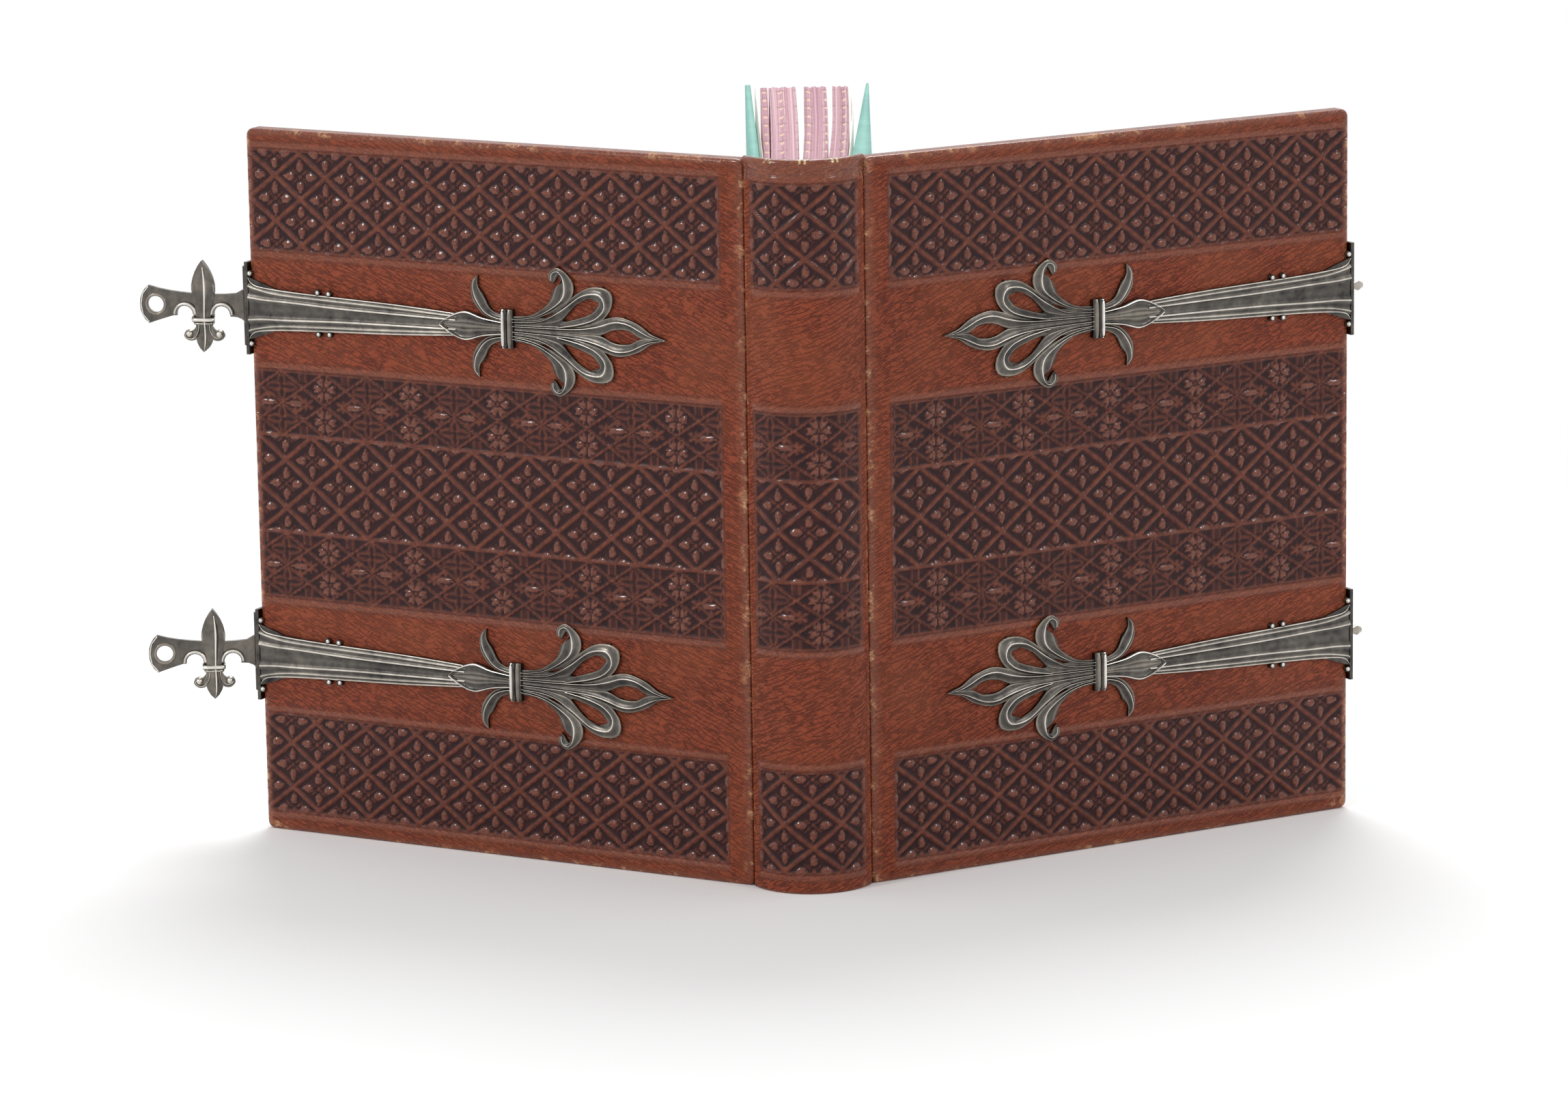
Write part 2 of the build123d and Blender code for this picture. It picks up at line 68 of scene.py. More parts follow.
class Wire:  # wraps a socket, so that shader maths reads as plain sums
    def __init__(self, tree, socket=None):
        self.tree = tree
        self.socket = socket

    def node(self, kind, settings=None, inputs=None, out=0):
        made = self.tree.nodes.new(kind)
        for key, value in (settings or {}).items():
            if key == "stops":
                stops = made.color_ramp.elements
                while len(stops) < len(value):
                    stops.new(0.5)
                for stop, (place, colour) in zip(stops, value):
                    stop.position, stop.color = place, colour
            else:
                setattr(made, key, value)
        for key, value in (inputs or {}).items():
            if isinstance(value, Wire):
                self.tree.links.new(value.socket, made.inputs[key])
            else:
                made.inputs[key].default_value = value
        return Wire(self.tree, made.outputs[out] if len(made.outputs) else None)

    def maths(self, operation, *values):
        return self.node("ShaderNodeMath", {"operation": operation}, dict(enumerate(values)))

    def __add__(self, other):
        return self.maths("ADD", self, other)

    def __sub__(self, other):
        return self.maths("SUBTRACT", self, other)

    def __rsub__(self, other):
        return self.maths("SUBTRACT", other, self)

    def __mul__(self, other):
        return self.maths("MULTIPLY", self, other)

    __radd__, __rmul__ = __add__, __mul__

    def ramp(self, low, high):  # 0 to 1 as the value goes from low to high
        return self.node("ShaderNodeMapRange", {"interpolation_type": "SMOOTHSTEP"},
                         {"Value": self, "From Min": low, "From Max": high})

    def colour(self, low, high):  # low where this is 0, high where it is 1
        return self.node("ShaderNodeMix", {"data_type": "RGBA"}, {0: self, 6: low, 7: high}, out=2)

    def mask(self, name):  # a mask that the mesh carries, one value for each point
        return self.node("ShaderNodeAttribute", {"attribute_name": name}, out="Fac")

    def place(self, name):  # places on the flattened surface, carried by the mesh
        return self.node("ShaderNodeAttribute", {"attribute_name": name}, out="Vector")

    def turned(self, place, angle, size):  # places turned, then measured in lengths of this size
        return self.node("ShaderNodeMapping", {"vector_type": "TEXTURE"},
                         {"Vector": place, "Rotation": (0, 0, math.radians(angle)), "Scale": size})

    def noise(self, place, scale, detail=2.0, rough=0.5):
        return self.node("ShaderNodeTexNoise", {},
                         {"Vector": place, "Scale": scale, "Detail": detail, "Roughness": rough}, out="Fac")

    def relief(self, height, distance, strength=1.0):
        return self.node("ShaderNodeBump", {},
                         {"Height": height, "Distance": distance, "Strength": strength})


def makeMaterial(name, build):
    made = bpy.data.materials.new(name)
    made.use_nodes = True
    tree = made.node_tree
    tree.nodes.clear()
    wire = Wire(tree)
    shader = wire.node("ShaderNodeBsdfPrincipled", {}, build(wire), out="BSDF")
    wire.node("ShaderNodeOutputMaterial", {}, {"Surface": shader})
    return made


def leatherLook(wire):
    flat = wire.place("flat")
    plain, ridge, petal = wire.mask("plain"), wire.mask("ridge"), wire.mask("petal")
    polish, worn, gilt = wire.mask("polish"), wire.mask("worn"), wire.mask("gilt")
    rising = wire.noise(wire.turned(flat, 22, (6.2, 1.15, 1)), 1.0, 2.0, 0.5)
    falling = wire.noise(wire.turned(flat, -30, (4.6, 1.5, 1)), 1.0, 2.0, 0.5)
    crease = wire.maths("ABSOLUTE", rising - 0.5).ramp(0.0, 0.055)
    other = wire.maths("ABSOLUTE", falling - 0.5).ramp(0.0, 0.04)
    pores = wire.noise(flat, 2.6, 3.0, 0.6)
    broad = wire.noise(flat, 0.045, 3.0, 0.6)
    mottle = wire.noise(flat, 0.5, 4.0, 0.65)
    scuff = wire.noise(flat, 1.3, 4.0, 0.7)
    patch = wire.noise(flat, 0.22, 5.0, 0.7)
    grain = crease * (other * 0.5 + 0.5)
    plainTone = grain.colour(paint(90, 36, 22), paint(136, 62, 38))
    plainTone = (broad.ramp(0.35, 0.7) * 0.5).colour(plainTone, paint(138, 72, 44))
    plainTone = (mottle.ramp(0.55, 0.8) * 0.5).colour(plainTone, paint(162, 86, 54))
    ground = mottle.ramp(0.3, 0.7).colour(paint(34, 14, 18), paint(56, 24, 25))
    ridgeTone = mottle.ramp(0.35, 0.7).colour(paint(86, 37, 25), paint(118, 59, 36))
    petalTone = scuff.ramp(0.35, 0.7).colour(paint(84, 36, 24), paint(132, 68, 42))
    polishTone = scuff.ramp(0.35, 0.75).colour(paint(106, 42, 14), paint(150, 72, 26))
    tone = plain.colour(ground, plainTone)
    tone = ridge.colour(tone, ridgeTone)
    tone = petal.colour(tone, petalTone)
    tone = (polish * (mottle.ramp(0.25, 0.6) * 0.7 + 0.3)).colour(tone, polishTone)
    wear = worn * (patch.ramp(0.52, 0.62) * scuff.ramp(0.32, 0.5))
    tone = wear.colour(tone, mottle.ramp(0.4, 0.6).colour(paint(160, 98, 64), paint(212, 162, 122)))
    tone = gilt.colour(tone, paint(236, 214, 160))
    height = (grain * plain) * 0.8 + pores * 0.2 + mottle * 0.15
    return {
        "Base Color": tone,
        "Roughness": (pores * 0.24 + 0.3) - polish * 0.06 + wear * 0.2,
        "Normal": wire.relief(height, 0.00026, 1.0),
        "Specular IOR Level": 0.2,
        "Coat Weight": (polish * 0.7 + petal * 0.6 + ridge * 0.25) * (1.0 - wear * 0.6) + 0.04,
        "Coat Roughness": 0.13,
    }


def silverLook(wire, polished=0.0):
    place = wire.node("ShaderNodeTexCoord", out="Object")
    tarnish = wire.noise(place, 420.0, 4.0, 0.6)
    broad = wire.noise(place, 90.0, 3.0, 0.6)
    scratch = wire.noise(wire.turned(place, 35, (0.004, 0.0006, 0.001)), 1.0, 2.0, 0.5)
    # the mask lightens ridge tops and crests: partly real rubbed silver, partly painted highlight in place
    # of reflections
    shine = wire.mask("rub") * 0.9 + (tarnish * 0.36 + broad * 0.36 + (polished - 0.23))
    return {
        "Base Color": wire.node("ShaderNodeValToRGB", {"stops": [
            (0.0, paint(40, 40, 43)), (0.22, paint(96, 92, 87)), (0.5, paint(146, 138, 127)),
            (1.0, paint(244, 241, 234))]}, {"Fac": shine}),
        "Metallic": 1.0,
        "Roughness": tarnish * 0.16 + scratch * 0.12 + 0.17,
        "Normal": wire.relief(tarnish * 0.7 + scratch * 0.3, 0.00007, 0.8),
    }


def leafLook(wire):  # pink edges of the leaves, with gilt tooled points
    flat = wire.place("flat")
    gilt, shade = wire.mask("gilt"), wire.mask("shade")
    lines = wire.noise(wire.turned(flat, 0, (0.17, 400, 1)), 1.0, 3.0, 0.75)
    thick = wire.noise(wire.turned(flat, 0, (0.9, 600, 1)), 1.0, 2.0, 0.5)
    blotch = wire.noise(flat, 0.25, 3.0, 0.6)
    tone = lines.ramp(0.36, 0.62).colour(paint(148, 92, 108), paint(216, 170, 180))
    tone = (thick.ramp(0.56, 0.66) * 0.6).colour(tone, paint(240, 220, 216))
    tone = (thick.ramp(0.44, 0.36) * 0.55).colour(tone, paint(120, 72, 80))
    tone = (blotch.ramp(0.45, 0.7) * 0.35).colour(tone, paint(206, 160, 186))
    tone = shade.colour(tone, paint(118, 84, 84))
    tone = (gilt * blotch.ramp(0.3, 0.45)).colour(tone, paint(244, 208, 164))
    return {
        "Base Color": tone,
        "Roughness": 0.62 - gilt * 0.3,
        "Normal": wire.relief(lines, 0.0002, 0.8),
    }


def paperLook(low, high):
    def build(wire):
        flat = wire.node("ShaderNodeTexCoord", out="Object")
        fibre = wire.noise(flat, 600.0, 4.0, 0.65)
        cloud = wire.noise(flat, 45.0, 3.0, 0.55)
        tone = (cloud * 0.7 + fibre * 0.3).ramp(0.35, 0.65).colour(low, high)
        return {"Base Color": tone, "Roughness": fibre * 0.15 + 0.62,
                "Normal": wire.relief(fibre, 0.00008, 0.6)}
    return build


def woodLook(wire):
    place = wire.node("ShaderNodeTexCoord", out="Object")
    rings = wire.noise(wire.turned(place, 0, (0.002, 0.002, 0.02)), 1.0, 4.0, 0.6)
    return {"Base Color": rings.ramp(0.3, 0.7).colour(paint(112, 78, 46), paint(170, 126, 80)),
            "Roughness": rings * 0.2 + 0.5, "Normal": wire.relief(rings, 0.0002, 0.6)}


def clothLook(low, high, scale):
    def build(wire):
        place = wire.node("ShaderNodeTexCoord", out="Object")
        weave = wire.node("ShaderNodeTexWave", {"bands_direction": "X"},
                          {"Vector": place, "Scale": scale, "Distortion": 1.5}, out="Fac")
        return {"Base Color": weave.ramp(0.3, 0.7).colour(low, high), "Roughness": weave * 0.15 + 0.6,
                "Normal": wire.relief(weave, 0.0002, 0.7)}
    return build


looks = {
    "leather": makeMaterial("tooledCalf", leatherLook),
    "silver": makeMaterial("darkenedSilver", silverLook),
    "claspSilver": makeMaterial("handledSilver", lambda wire: silverLook(wire, 0.13)),
    "pinSilver": makeMaterial("rubbedSilver", lambda wire: silverLook(wire, 0.45)),
    "leaves": makeMaterial("pinkEdges", leafLook),
    "teal": makeMaterial("tealPaper", paperLook(paint(116, 172, 162), paint(138, 192, 180))),
    "white": makeMaterial("vellumLeaf", paperLook(paint(226, 220, 208), paint(246, 242, 234))),
    "oak": makeMaterial("oakBoard", woodLook),
    "cord": makeMaterial("tawedCord", clothLook(paint(196, 176, 140), paint(226, 210, 178), 900.0)),
    "linen": makeMaterial("spineLinen", clothLook(paint(188, 176, 148), paint(218, 208, 184), 1400.0)),
    "silk": makeMaterial("endbandSilk", clothLook(paint(150, 74, 66), paint(222, 190, 130), 520.0)),
}
nodeLooks = {  # a word in the name of a node, and its look; the first word found counts
    "board": "oak", "doublure": "teal", "flyleaf": "teal", "lacings": "cord", "supports": "cord",
    "lining": "linen", "endband": "silk", "pin": "pinSilver", "strap": "silver", "clasp": "claspSilver",
    "text_block": "leaves", "leather": "leather",
}
for nodeName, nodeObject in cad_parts.items():
    for word, look in nodeLooks.items():
        if word in nodeName:
            nodeObject.data.materials.clear()
            nodeObject.data.materials.append(looks[look])
            break
print("materials made,", len(looks))


# Mesh helpers

def sheetFaces(rows, columns, flip=False):  # quads over a grid of points
    index = np.arange(rows * columns).reshape(rows, columns)
    corners = [index[:-1, :-1], index[:-1, 1:], index[1:, 1:], index[1:, :-1]]
    return np.stack(corners[::-1] if flip else corners, axis=-1).reshape(-1, 4)


def tubeFaces(rows, columns, flip=False):  # quads round a tube of rings, and a face over each end
    index = np.arange(rows * columns).reshape(rows, columns)
    wrapped = np.concatenate([index, index[:, :1]], axis=1)
    corners = [wrapped[:-1, :-1], wrapped[:-1, 1:], wrapped[1:, 1:], wrapped[1:, :-1]]
    ends = [index[0][::-1], index[-1]]
    if flip:
        corners = [corners[0], corners[3], corners[2], corners[1]]
        ends = [index[0], index[-1][::-1]]
    return np.stack(corners, axis=-1).reshape(-1, 4).tolist() + [end.tolist() for end in ends]


def makePiece(name, points, faces, look, body, stands=(), masks=None):
    mesh = bpy.data.meshes.new(name)
    places = (np.asarray(points).reshape(-1, 3) * mm).tolist()
    mesh.from_pydata(places, [], [list(map(int, face)) for face in faces])
    for key, values in (masks or {}).items():
        values = np.asarray(values, dtype=np.float32)
        vector = values.ndim > 1 and values.shape[-1] == 3
        layer = mesh.attributes.new(key, "FLOAT_VECTOR" if vector else "FLOAT", "POINT")
        layer.data.foreach_set("vector" if vector else "value", values.ravel())
    mesh.polygons.foreach_set("use_smooth", [True] * len(mesh.polygons))
    mesh.materials.append(looks[look])
    mesh.update()
    piece = bpy.data.objects.new(name, mesh)
    bpy.context.scene.collection.objects.link(piece)
    if body:
        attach(piece, body)
    if stands:
        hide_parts(*stands)
    print("piece", name, len(mesh.polygons), "faces")
    return piece


def onCover(side, across, out, up):  # side -1 is the back cover, 1 the front
    across, out, up = np.broadcast_arrays(across, out, up)
    return np.stack([side * (book["halfSpine"] + across * sinOpen + out * cosOpen),
                     book["jointY"] + across * cosOpen - out * sinOpen, up], axis=-1)


# Tooling of the leather

tooling = {
    "depth": 0.5, "ridge": 0.5, "thinRidge": 0.26,
    "bands": [(5.0, 32.5, 6.0), (157.5, 185.0, 159.6)],  # low, high, lowest crossing
    "centre": (64.0, 126.0), "centreCrossing": 95.15, "rows": (82.0, 108.3), "bandPitch": (7.78, 6.1),
    "centrePitch": (8.22, 6.55), "rosettePitch": (6.6, 4.37), "rosetteRows": (73.0, 117.05),
}


def drop(along, side, start, length, width):  # a petal, round inside and pointed at its tip
    t = np.clip((along - start) / length, 0, 1)
    half = width * 2.6 * np.sqrt(t) * (1 - t)
    return np.where(half > 0.03, np.clip(1 - (side / np.maximum(half, 0.03)) ** 2, 0, 1), 0)


def stroke(x, y, line, wide):  # a rounded line through points, 1 on it
    best = np.full(x.shape, 9.0)
    for (x0, y0), (x1, y1) in zip(line, line[1:]):
        long = (x1 - x0) ** 2 + (y1 - y0) ** 2
        t = np.clip(((x - x0) * (x1 - x0) + (y - y0) * (y1 - y0)) / long, 0, 1)
        best = np.minimum(best, np.hypot(x - x0 - t * (x1 - x0), y - y0 - t * (y1 - y0)))
    return 1 - fade(best, wide * 0.55, wide * 1.25)


def lattice(across, up, pitch, start, crossing):  # distance to a ridge, place in the lozenge, which lozenge
    p, q = (across - start) / pitch[0], (up - crossing) / pitch[1]
    one, two = (p + q) / 2, (p - q) / 2
    scale = 2 * pitch[0] * pitch[1] / math.hypot(*pitch)
    gap = np.minimum(abs(one - np.round(one)), abs(two - np.round(two))) * scale
    column, row = np.floor(one) + np.floor(two) + 1, np.floor(one) - np.floor(two)
    return gap, (p - column) * pitch[0], (q - row) * pitch[1], column, row


def largeFlower(x, y):  # four petals, four sepals and a point in the middle
    petal = np.maximum(drop(abs(x), y, 1.9, 3.2, 1.22), drop(abs(y), x, 1.35, 3.3, 1.05))
    sepal = drop(abs(x) * 0.79 + abs(y) * 0.61, abs(x) * 0.61 - abs(y) * 0.79, 0.9, 2.3, 0.34)
    point = 1 - fade(np.hypot(x, y), 0.3, 0.65)
    return petal, np.maximum(sepal, point)


def rosette(x, y):  # six heart-shaped petals
    turn = np.arctan2(y, x)
    angle = turn - np.round(turn / (math.pi / 3)) * math.pi / 3
    away = np.hypot(x, y)
    along, side = away * np.cos(angle), away * np.sin(angle)
    notch = 3.3 - 0.6 * np.exp(-(side / 0.3) ** 2)
    wide = 0.42 + 0.5 * np.clip(along - 0.9, 0, 1.3)
    petal = np.clip(1 - (side / np.maximum(wide, 0.1)) ** 2, 0, 1) * fade(along, 0.75, 1.1)
    petal = petal * (1 - fade(along, notch - 0.35, notch + 0.1))
    return petal, 1 - fade(away, 0.25, 0.6)


def hollowStar(x, y):  # four leaves, each a pair of curved lines
    leaves = []
    for along, side, long in ((abs(x), y, 4.6), (abs(y), x, 3.4)):
        t = np.clip((along - 0.4) / long, 0, 1)
        half = 1.3 * 2.6 * np.sqrt(t) * (1 - t)
        leaves.append(np.exp(-((abs(side) - half * 0.75) / 0.34) ** 2) * fade(half, 0.1, 0.35))
    return np.maximum(*leaves)


def lilyMark(x, y):  # a small lily pointing along x
    y = abs(y)
    leaf = drop(x, y, 0.2, 5.2, 0.95)
    curl = stroke(x, y, [(-0.6, 0.45), (0.6, 1.1), (1.5, 1.9), (2.3, 2.2), (2.9, 1.75), (2.6, 1.3)], 0.42)
    tie = stroke(x, y, [(-0.9, 0), (-0.9, 1.5)], 0.34)
    foot = stroke(x, y, [(-1.3, 0.2), (-2.6, 0.9)], 0.42)
    return np.maximum(leaf, 0), np.maximum.reduce([curl, tie, foot])


def rosetteRow(across, up, start, mid):  # ridges, blooms and small marks of a row of small lozenges
    gap, x, y, column, row = lattice(across, up, tooling["rosettePitch"], start, mid)
    bar = 1 - fade(gap, tooling["thinRidge"] * 0.7, tooling["thinRidge"] * 1.6)
    roseBloom, roseSmall = rosette(x, y)
    starLine = hollowStar(x, y)
    point = np.where(np.mod(column, 4) == 1, 1, -1)  # lilies point away from the rosettes
    lilyBloom, lilySmall = lilyMark(x * point, y)
    bud = drop(np.abs(y), x, 0.2, 3.4, 0.8)
    budLine = np.exp(-((abs(x) - 0.95) / 0.3) ** 2) * (1 - fade(abs(y), 2.6, 3.2))
    even, middle = np.mod(column, 2) == 0, row == 0
    isRose = even & (np.mod(column, 4) == 0)
    bloom = np.where(isRose, roseBloom, np.where(even, 0, np.where(middle, lilyBloom, bud * 0.15)))
    small = np.where(isRose, roseSmall, np.where(even, starLine, np.where(middle, lilySmall, budLine)))
    return bar, bloom, small


def toolLeather(across, up, phase, inner, outer):  # relief and masks over a grid of places on the leather
    zero = np.zeros(across.shape)
    plain, ridge, petal, polish, lift = zero + 1, zero.copy(), zero.copy(), zero.copy(), zero + 1.0
    inside = fade(across, inner - 0.2, inner + 0.2) * (1 - fade(across, outer - 0.2, outer + 0.2))
    sideEdge = np.minimum(across - inner, outer - across)
    panels = [(*band, tooling["bandPitch"], phase["band"]) for band in tooling["bands"]]
    panels.append((*tooling["centre"], tooling["centreCrossing"], tooling["centrePitch"], phase["centre"]))
    for low, high, crossing, pitch, start in panels:
        here = inside * fade(up, low - 0.2, low + 0.2) * (1 - fade(up, high - 0.2, high + 0.2))
        gap, x, y = lattice(across, up, pitch, start, crossing)[:3]
        bar = 1 - fade(gap, tooling["ridge"] * 0.7, tooling["ridge"] * 1.5)
        bloom, small = largeFlower(x, y)
        if (low, high) == tooling["centre"]:
            rowLow, rowHigh = tooling["rows"]
            for mid, inRow in zip(tooling["rosetteRows"], (up < rowLow, up > rowHigh)):
                fine = rosetteRow(across, up, phase["rosette"], mid)
                bar, bloom, small = [np.where(inRow, *pair) for pair in zip(fine, (bar, bloom, small))]
            divide = np.minimum(abs(up - rowLow), abs(up - rowHigh))
            bar = np.maximum(bar, 1 - fade(divide, 0.25, 0.65))
        rim = np.minimum(np.minimum(up - low, high - up), sideEdge)
        bar = np.maximum(bar, 1 - fade(abs(rim - 0.45), 0.2, 0.5))
        petalMask = fade(bloom, 0.05, 0.45)
        level = np.maximum.reduce([bar, 1.15 * np.sqrt(bloom), 0.7 * small])
        lift = lift * (1 - here) + level * here
        plain = plain * (1 - here)
        ridge = np.maximum(ridge, here * np.maximum(bar, small * 0.95))
        petal = np.maximum(petal, here * petalMask)
        for edge, way in ((low, -1), (high, 1)):
            past = (up - edge) * way
            strip = fade(past, 0.15, 0.45) * (1 - fade(past, 1.3, 1.8)) * inside
            groove = np.exp(-((past - 2.0) / 0.28) ** 2) * inside
            polish = np.maximum(polish, strip)
            lift = lift - groove * 0.5
            ridge = np.maximum(ridge, groove * 0.6)
    lines = np.exp(-((across - inner + 1.6) / 0.3) ** 2) + np.exp(-((across - outer - 1.6) / 0.3) ** 2)
    lift = lift - 0.4 * lines
    return lift, {"plain": plain, "ridge": ridge, "petal": petal, "polish": polish}


def stepped(*runs):  # values from runs of (end, step), the first number being the start
    values = [runs[0]]
    for end, step in runs[1:]:
        count = max(1, round((end - values[-1]) / step))
        values += list(np.linspace(values[-1], end, count + 1)[1:])
    return np.array(values)


cover = {
    "rim": 0.9, "corner": 2.0, "fine": 0.47, "turnIn": 14.0, "jointRim": 0.6, "roll": 0.3, "rollWidth": 5.0,
    "border": 7.0, "beyond": 200.0,  # the tooled fields start at border and run off the fore-edge
    "setback": 0.92, "flatShift": 40,  # the shift parts the grain of the two covers
    "phase": {"band": 147.3, "centre": 147.04, "rosette": 20.6},  # where a crossing lies, for each pattern
}
upSteps = stepped(0.0, (0.2, 0.1), (1.0, 0.25), (2.2, 0.6), (33.0, cover["fine"]), (35.0, 0.4), (61.0, 3.2),
                  (63.6, 0.4), (95.0, cover["fine"]))
upRows = np.concatenate([upSteps, book["height"] - upSteps[::-1][1:]])
acrossRows = stepped(0.0, (0.2, 0.1), (1.0, 0.25), (4.6, 1.2), (147.0, cover["fine"]), (147.8, 0.25),
                     (book["width"], 0.1))


def makeCoverLeather(side, body, node):
    width, height, corner, rim = book["width"], book["height"], cover["corner"], cover["rim"]
    across, up = np.meshgrid(acrossRows, upRows)
    lift, masks = toolLeather(across, up, cover["phase"], cover["border"], cover["beyond"])
    edge = np.minimum(np.minimum(across, width - across), np.minimum(up, height - up))
    for cx in (corner, width - corner):  # round the corners of the outline
        for cz in (corner, height - corner):
            here = (abs(across - cx) < corner + 1e-6) & (abs(up - cz) < corner + 1e-6)
            here &= ((across - cx) * (cx - width / 2) > 0) & ((up - cz) * (cz - height / 2) > 0)
            far = np.maximum(abs(across - cx), abs(up - cz))
            long = np.hypot(across - cx, up - cz)
            scale = np.where(here & (long > 0), far / np.maximum(long, 1e-6), 1)
            across, up = cx + (across - cx) * scale, cz + (up - cz) * scale
    fall = rim - np.sqrt(np.maximum(rim ** 2 - np.clip(rim - edge, 0, rim) ** 2, 0))
    fall = np.where(across < rim, np.minimum(fall, cover["jointRim"]), fall)
    roll = np.sin(np.clip((cover["rollWidth"] - edge) / 4.6, 0, 1) * math.pi) * (across > 6)
    sunk = (1 - lift) * tooling["depth"] * fade(edge, 0.1, 0.9)
    out = book["outerFace"] - fall - sunk + cover["roll"] * roll
    joint = 1 - fade(across, 0.2, 3.2)
    masks["polish"] = np.maximum(masks["polish"], np.maximum(0.85 * (1 - fade(edge, 0.7, 2.4)), joint))
    masks["worn"] = np.maximum(np.maximum(1 - fade(edge, 0.2, 1.7), joint * 0.9),
                               0.8 * (1 - fade(np.hypot(across - width, up * 0.9), 2, 9)))
    flat = np.stack([across, up, across * 0 + side * cover["flatShift"]], axis=-1)
    rows, columns = across.shape
    index = np.arange(rows * columns).reshape(rows, columns)
    loop = np.concatenate([index[0, :-1], index[:-1, -1], index[-1, :0:-1], index[:0:-1, 0]])
    ringA, ringZ = across.ravel()[loop], up.ravel()[loop]
    points = [onCover(side, across, out, up).reshape(-1, 3)]
    allMasks = {key: [value.ravel()] for key, value in masks.items()}
    flats = [flat.reshape(-1, 3)]
    faces = [sheetFaces(rows, columns, side < 0)]
    last, total = loop, rows * columns
    bottom = book["innerFace"]
    sides = [(0, -0.64), (0, -1.4), (0, -2.4), (0, bottom + 0.5)]
    turned = [(0.12, bottom + 0.15), (0.5, bottom), (5.0, bottom), (cover["turnIn"], bottom)]
    for inset, level in sides + turned:  # down the edge of the board, then in over its inner face
        a = np.maximum(width / 2 + (ringA - width / 2) * (1 - inset / (width / 2)), cover["setback"])
        z = height / 2 + (ringZ - height / 2) * (1 - inset / (height / 2))
        points.append(onCover(side, a, level, z))
        flats.append(np.stack([a, z + level, a * 0 + side * cover["flatShift"]], axis=-1))
        shares = {"plain": 1.0, "worn": 0.35 if inset < 1 else 0.0, "polish": 0.4 if inset < 1 else 0.0}
        for key in allMasks:
            allMasks[key].append(np.full(len(a), shares.get(key, 0.0)))
        now = np.arange(total, total + len(a))
        ring = np.stack([last, now, np.roll(now, -1), np.roll(last, -1)], axis=-1)
        faces.append(ring[:, ::-1] if side < 0 else ring)
        last, total = now, total + len(a)
    joined = {key: np.concatenate(value) for key, value in allMasks.items()}
    joined["flat"] = np.concatenate(flats)
    makePiece(node + "Tooled", np.concatenate(points), np.concatenate(faces), "leather", body,
              [node], joined)


makeCoverLeather(1, "front_cover", "front_leather")
makeCoverLeather(-1, "back_cover", "back_leather")


spine = {
    "capRadius": 1.02, "capDrop": 0.72, "capTop": 190.06, "fine": 0.45, "panel": 15.9, "capLine": 0.36,
    "phase": {"band": 7.78, "centre": 8.22, "rosette": 3.0},
    "tail": [(-1.7, 1.1), (-1.6, 0.02), (-0.5, 0.0), (-0.1, 0.28)],  # out from the leather's face, and up
    "ticks": (-9.6, -0.4, 8.2),
}


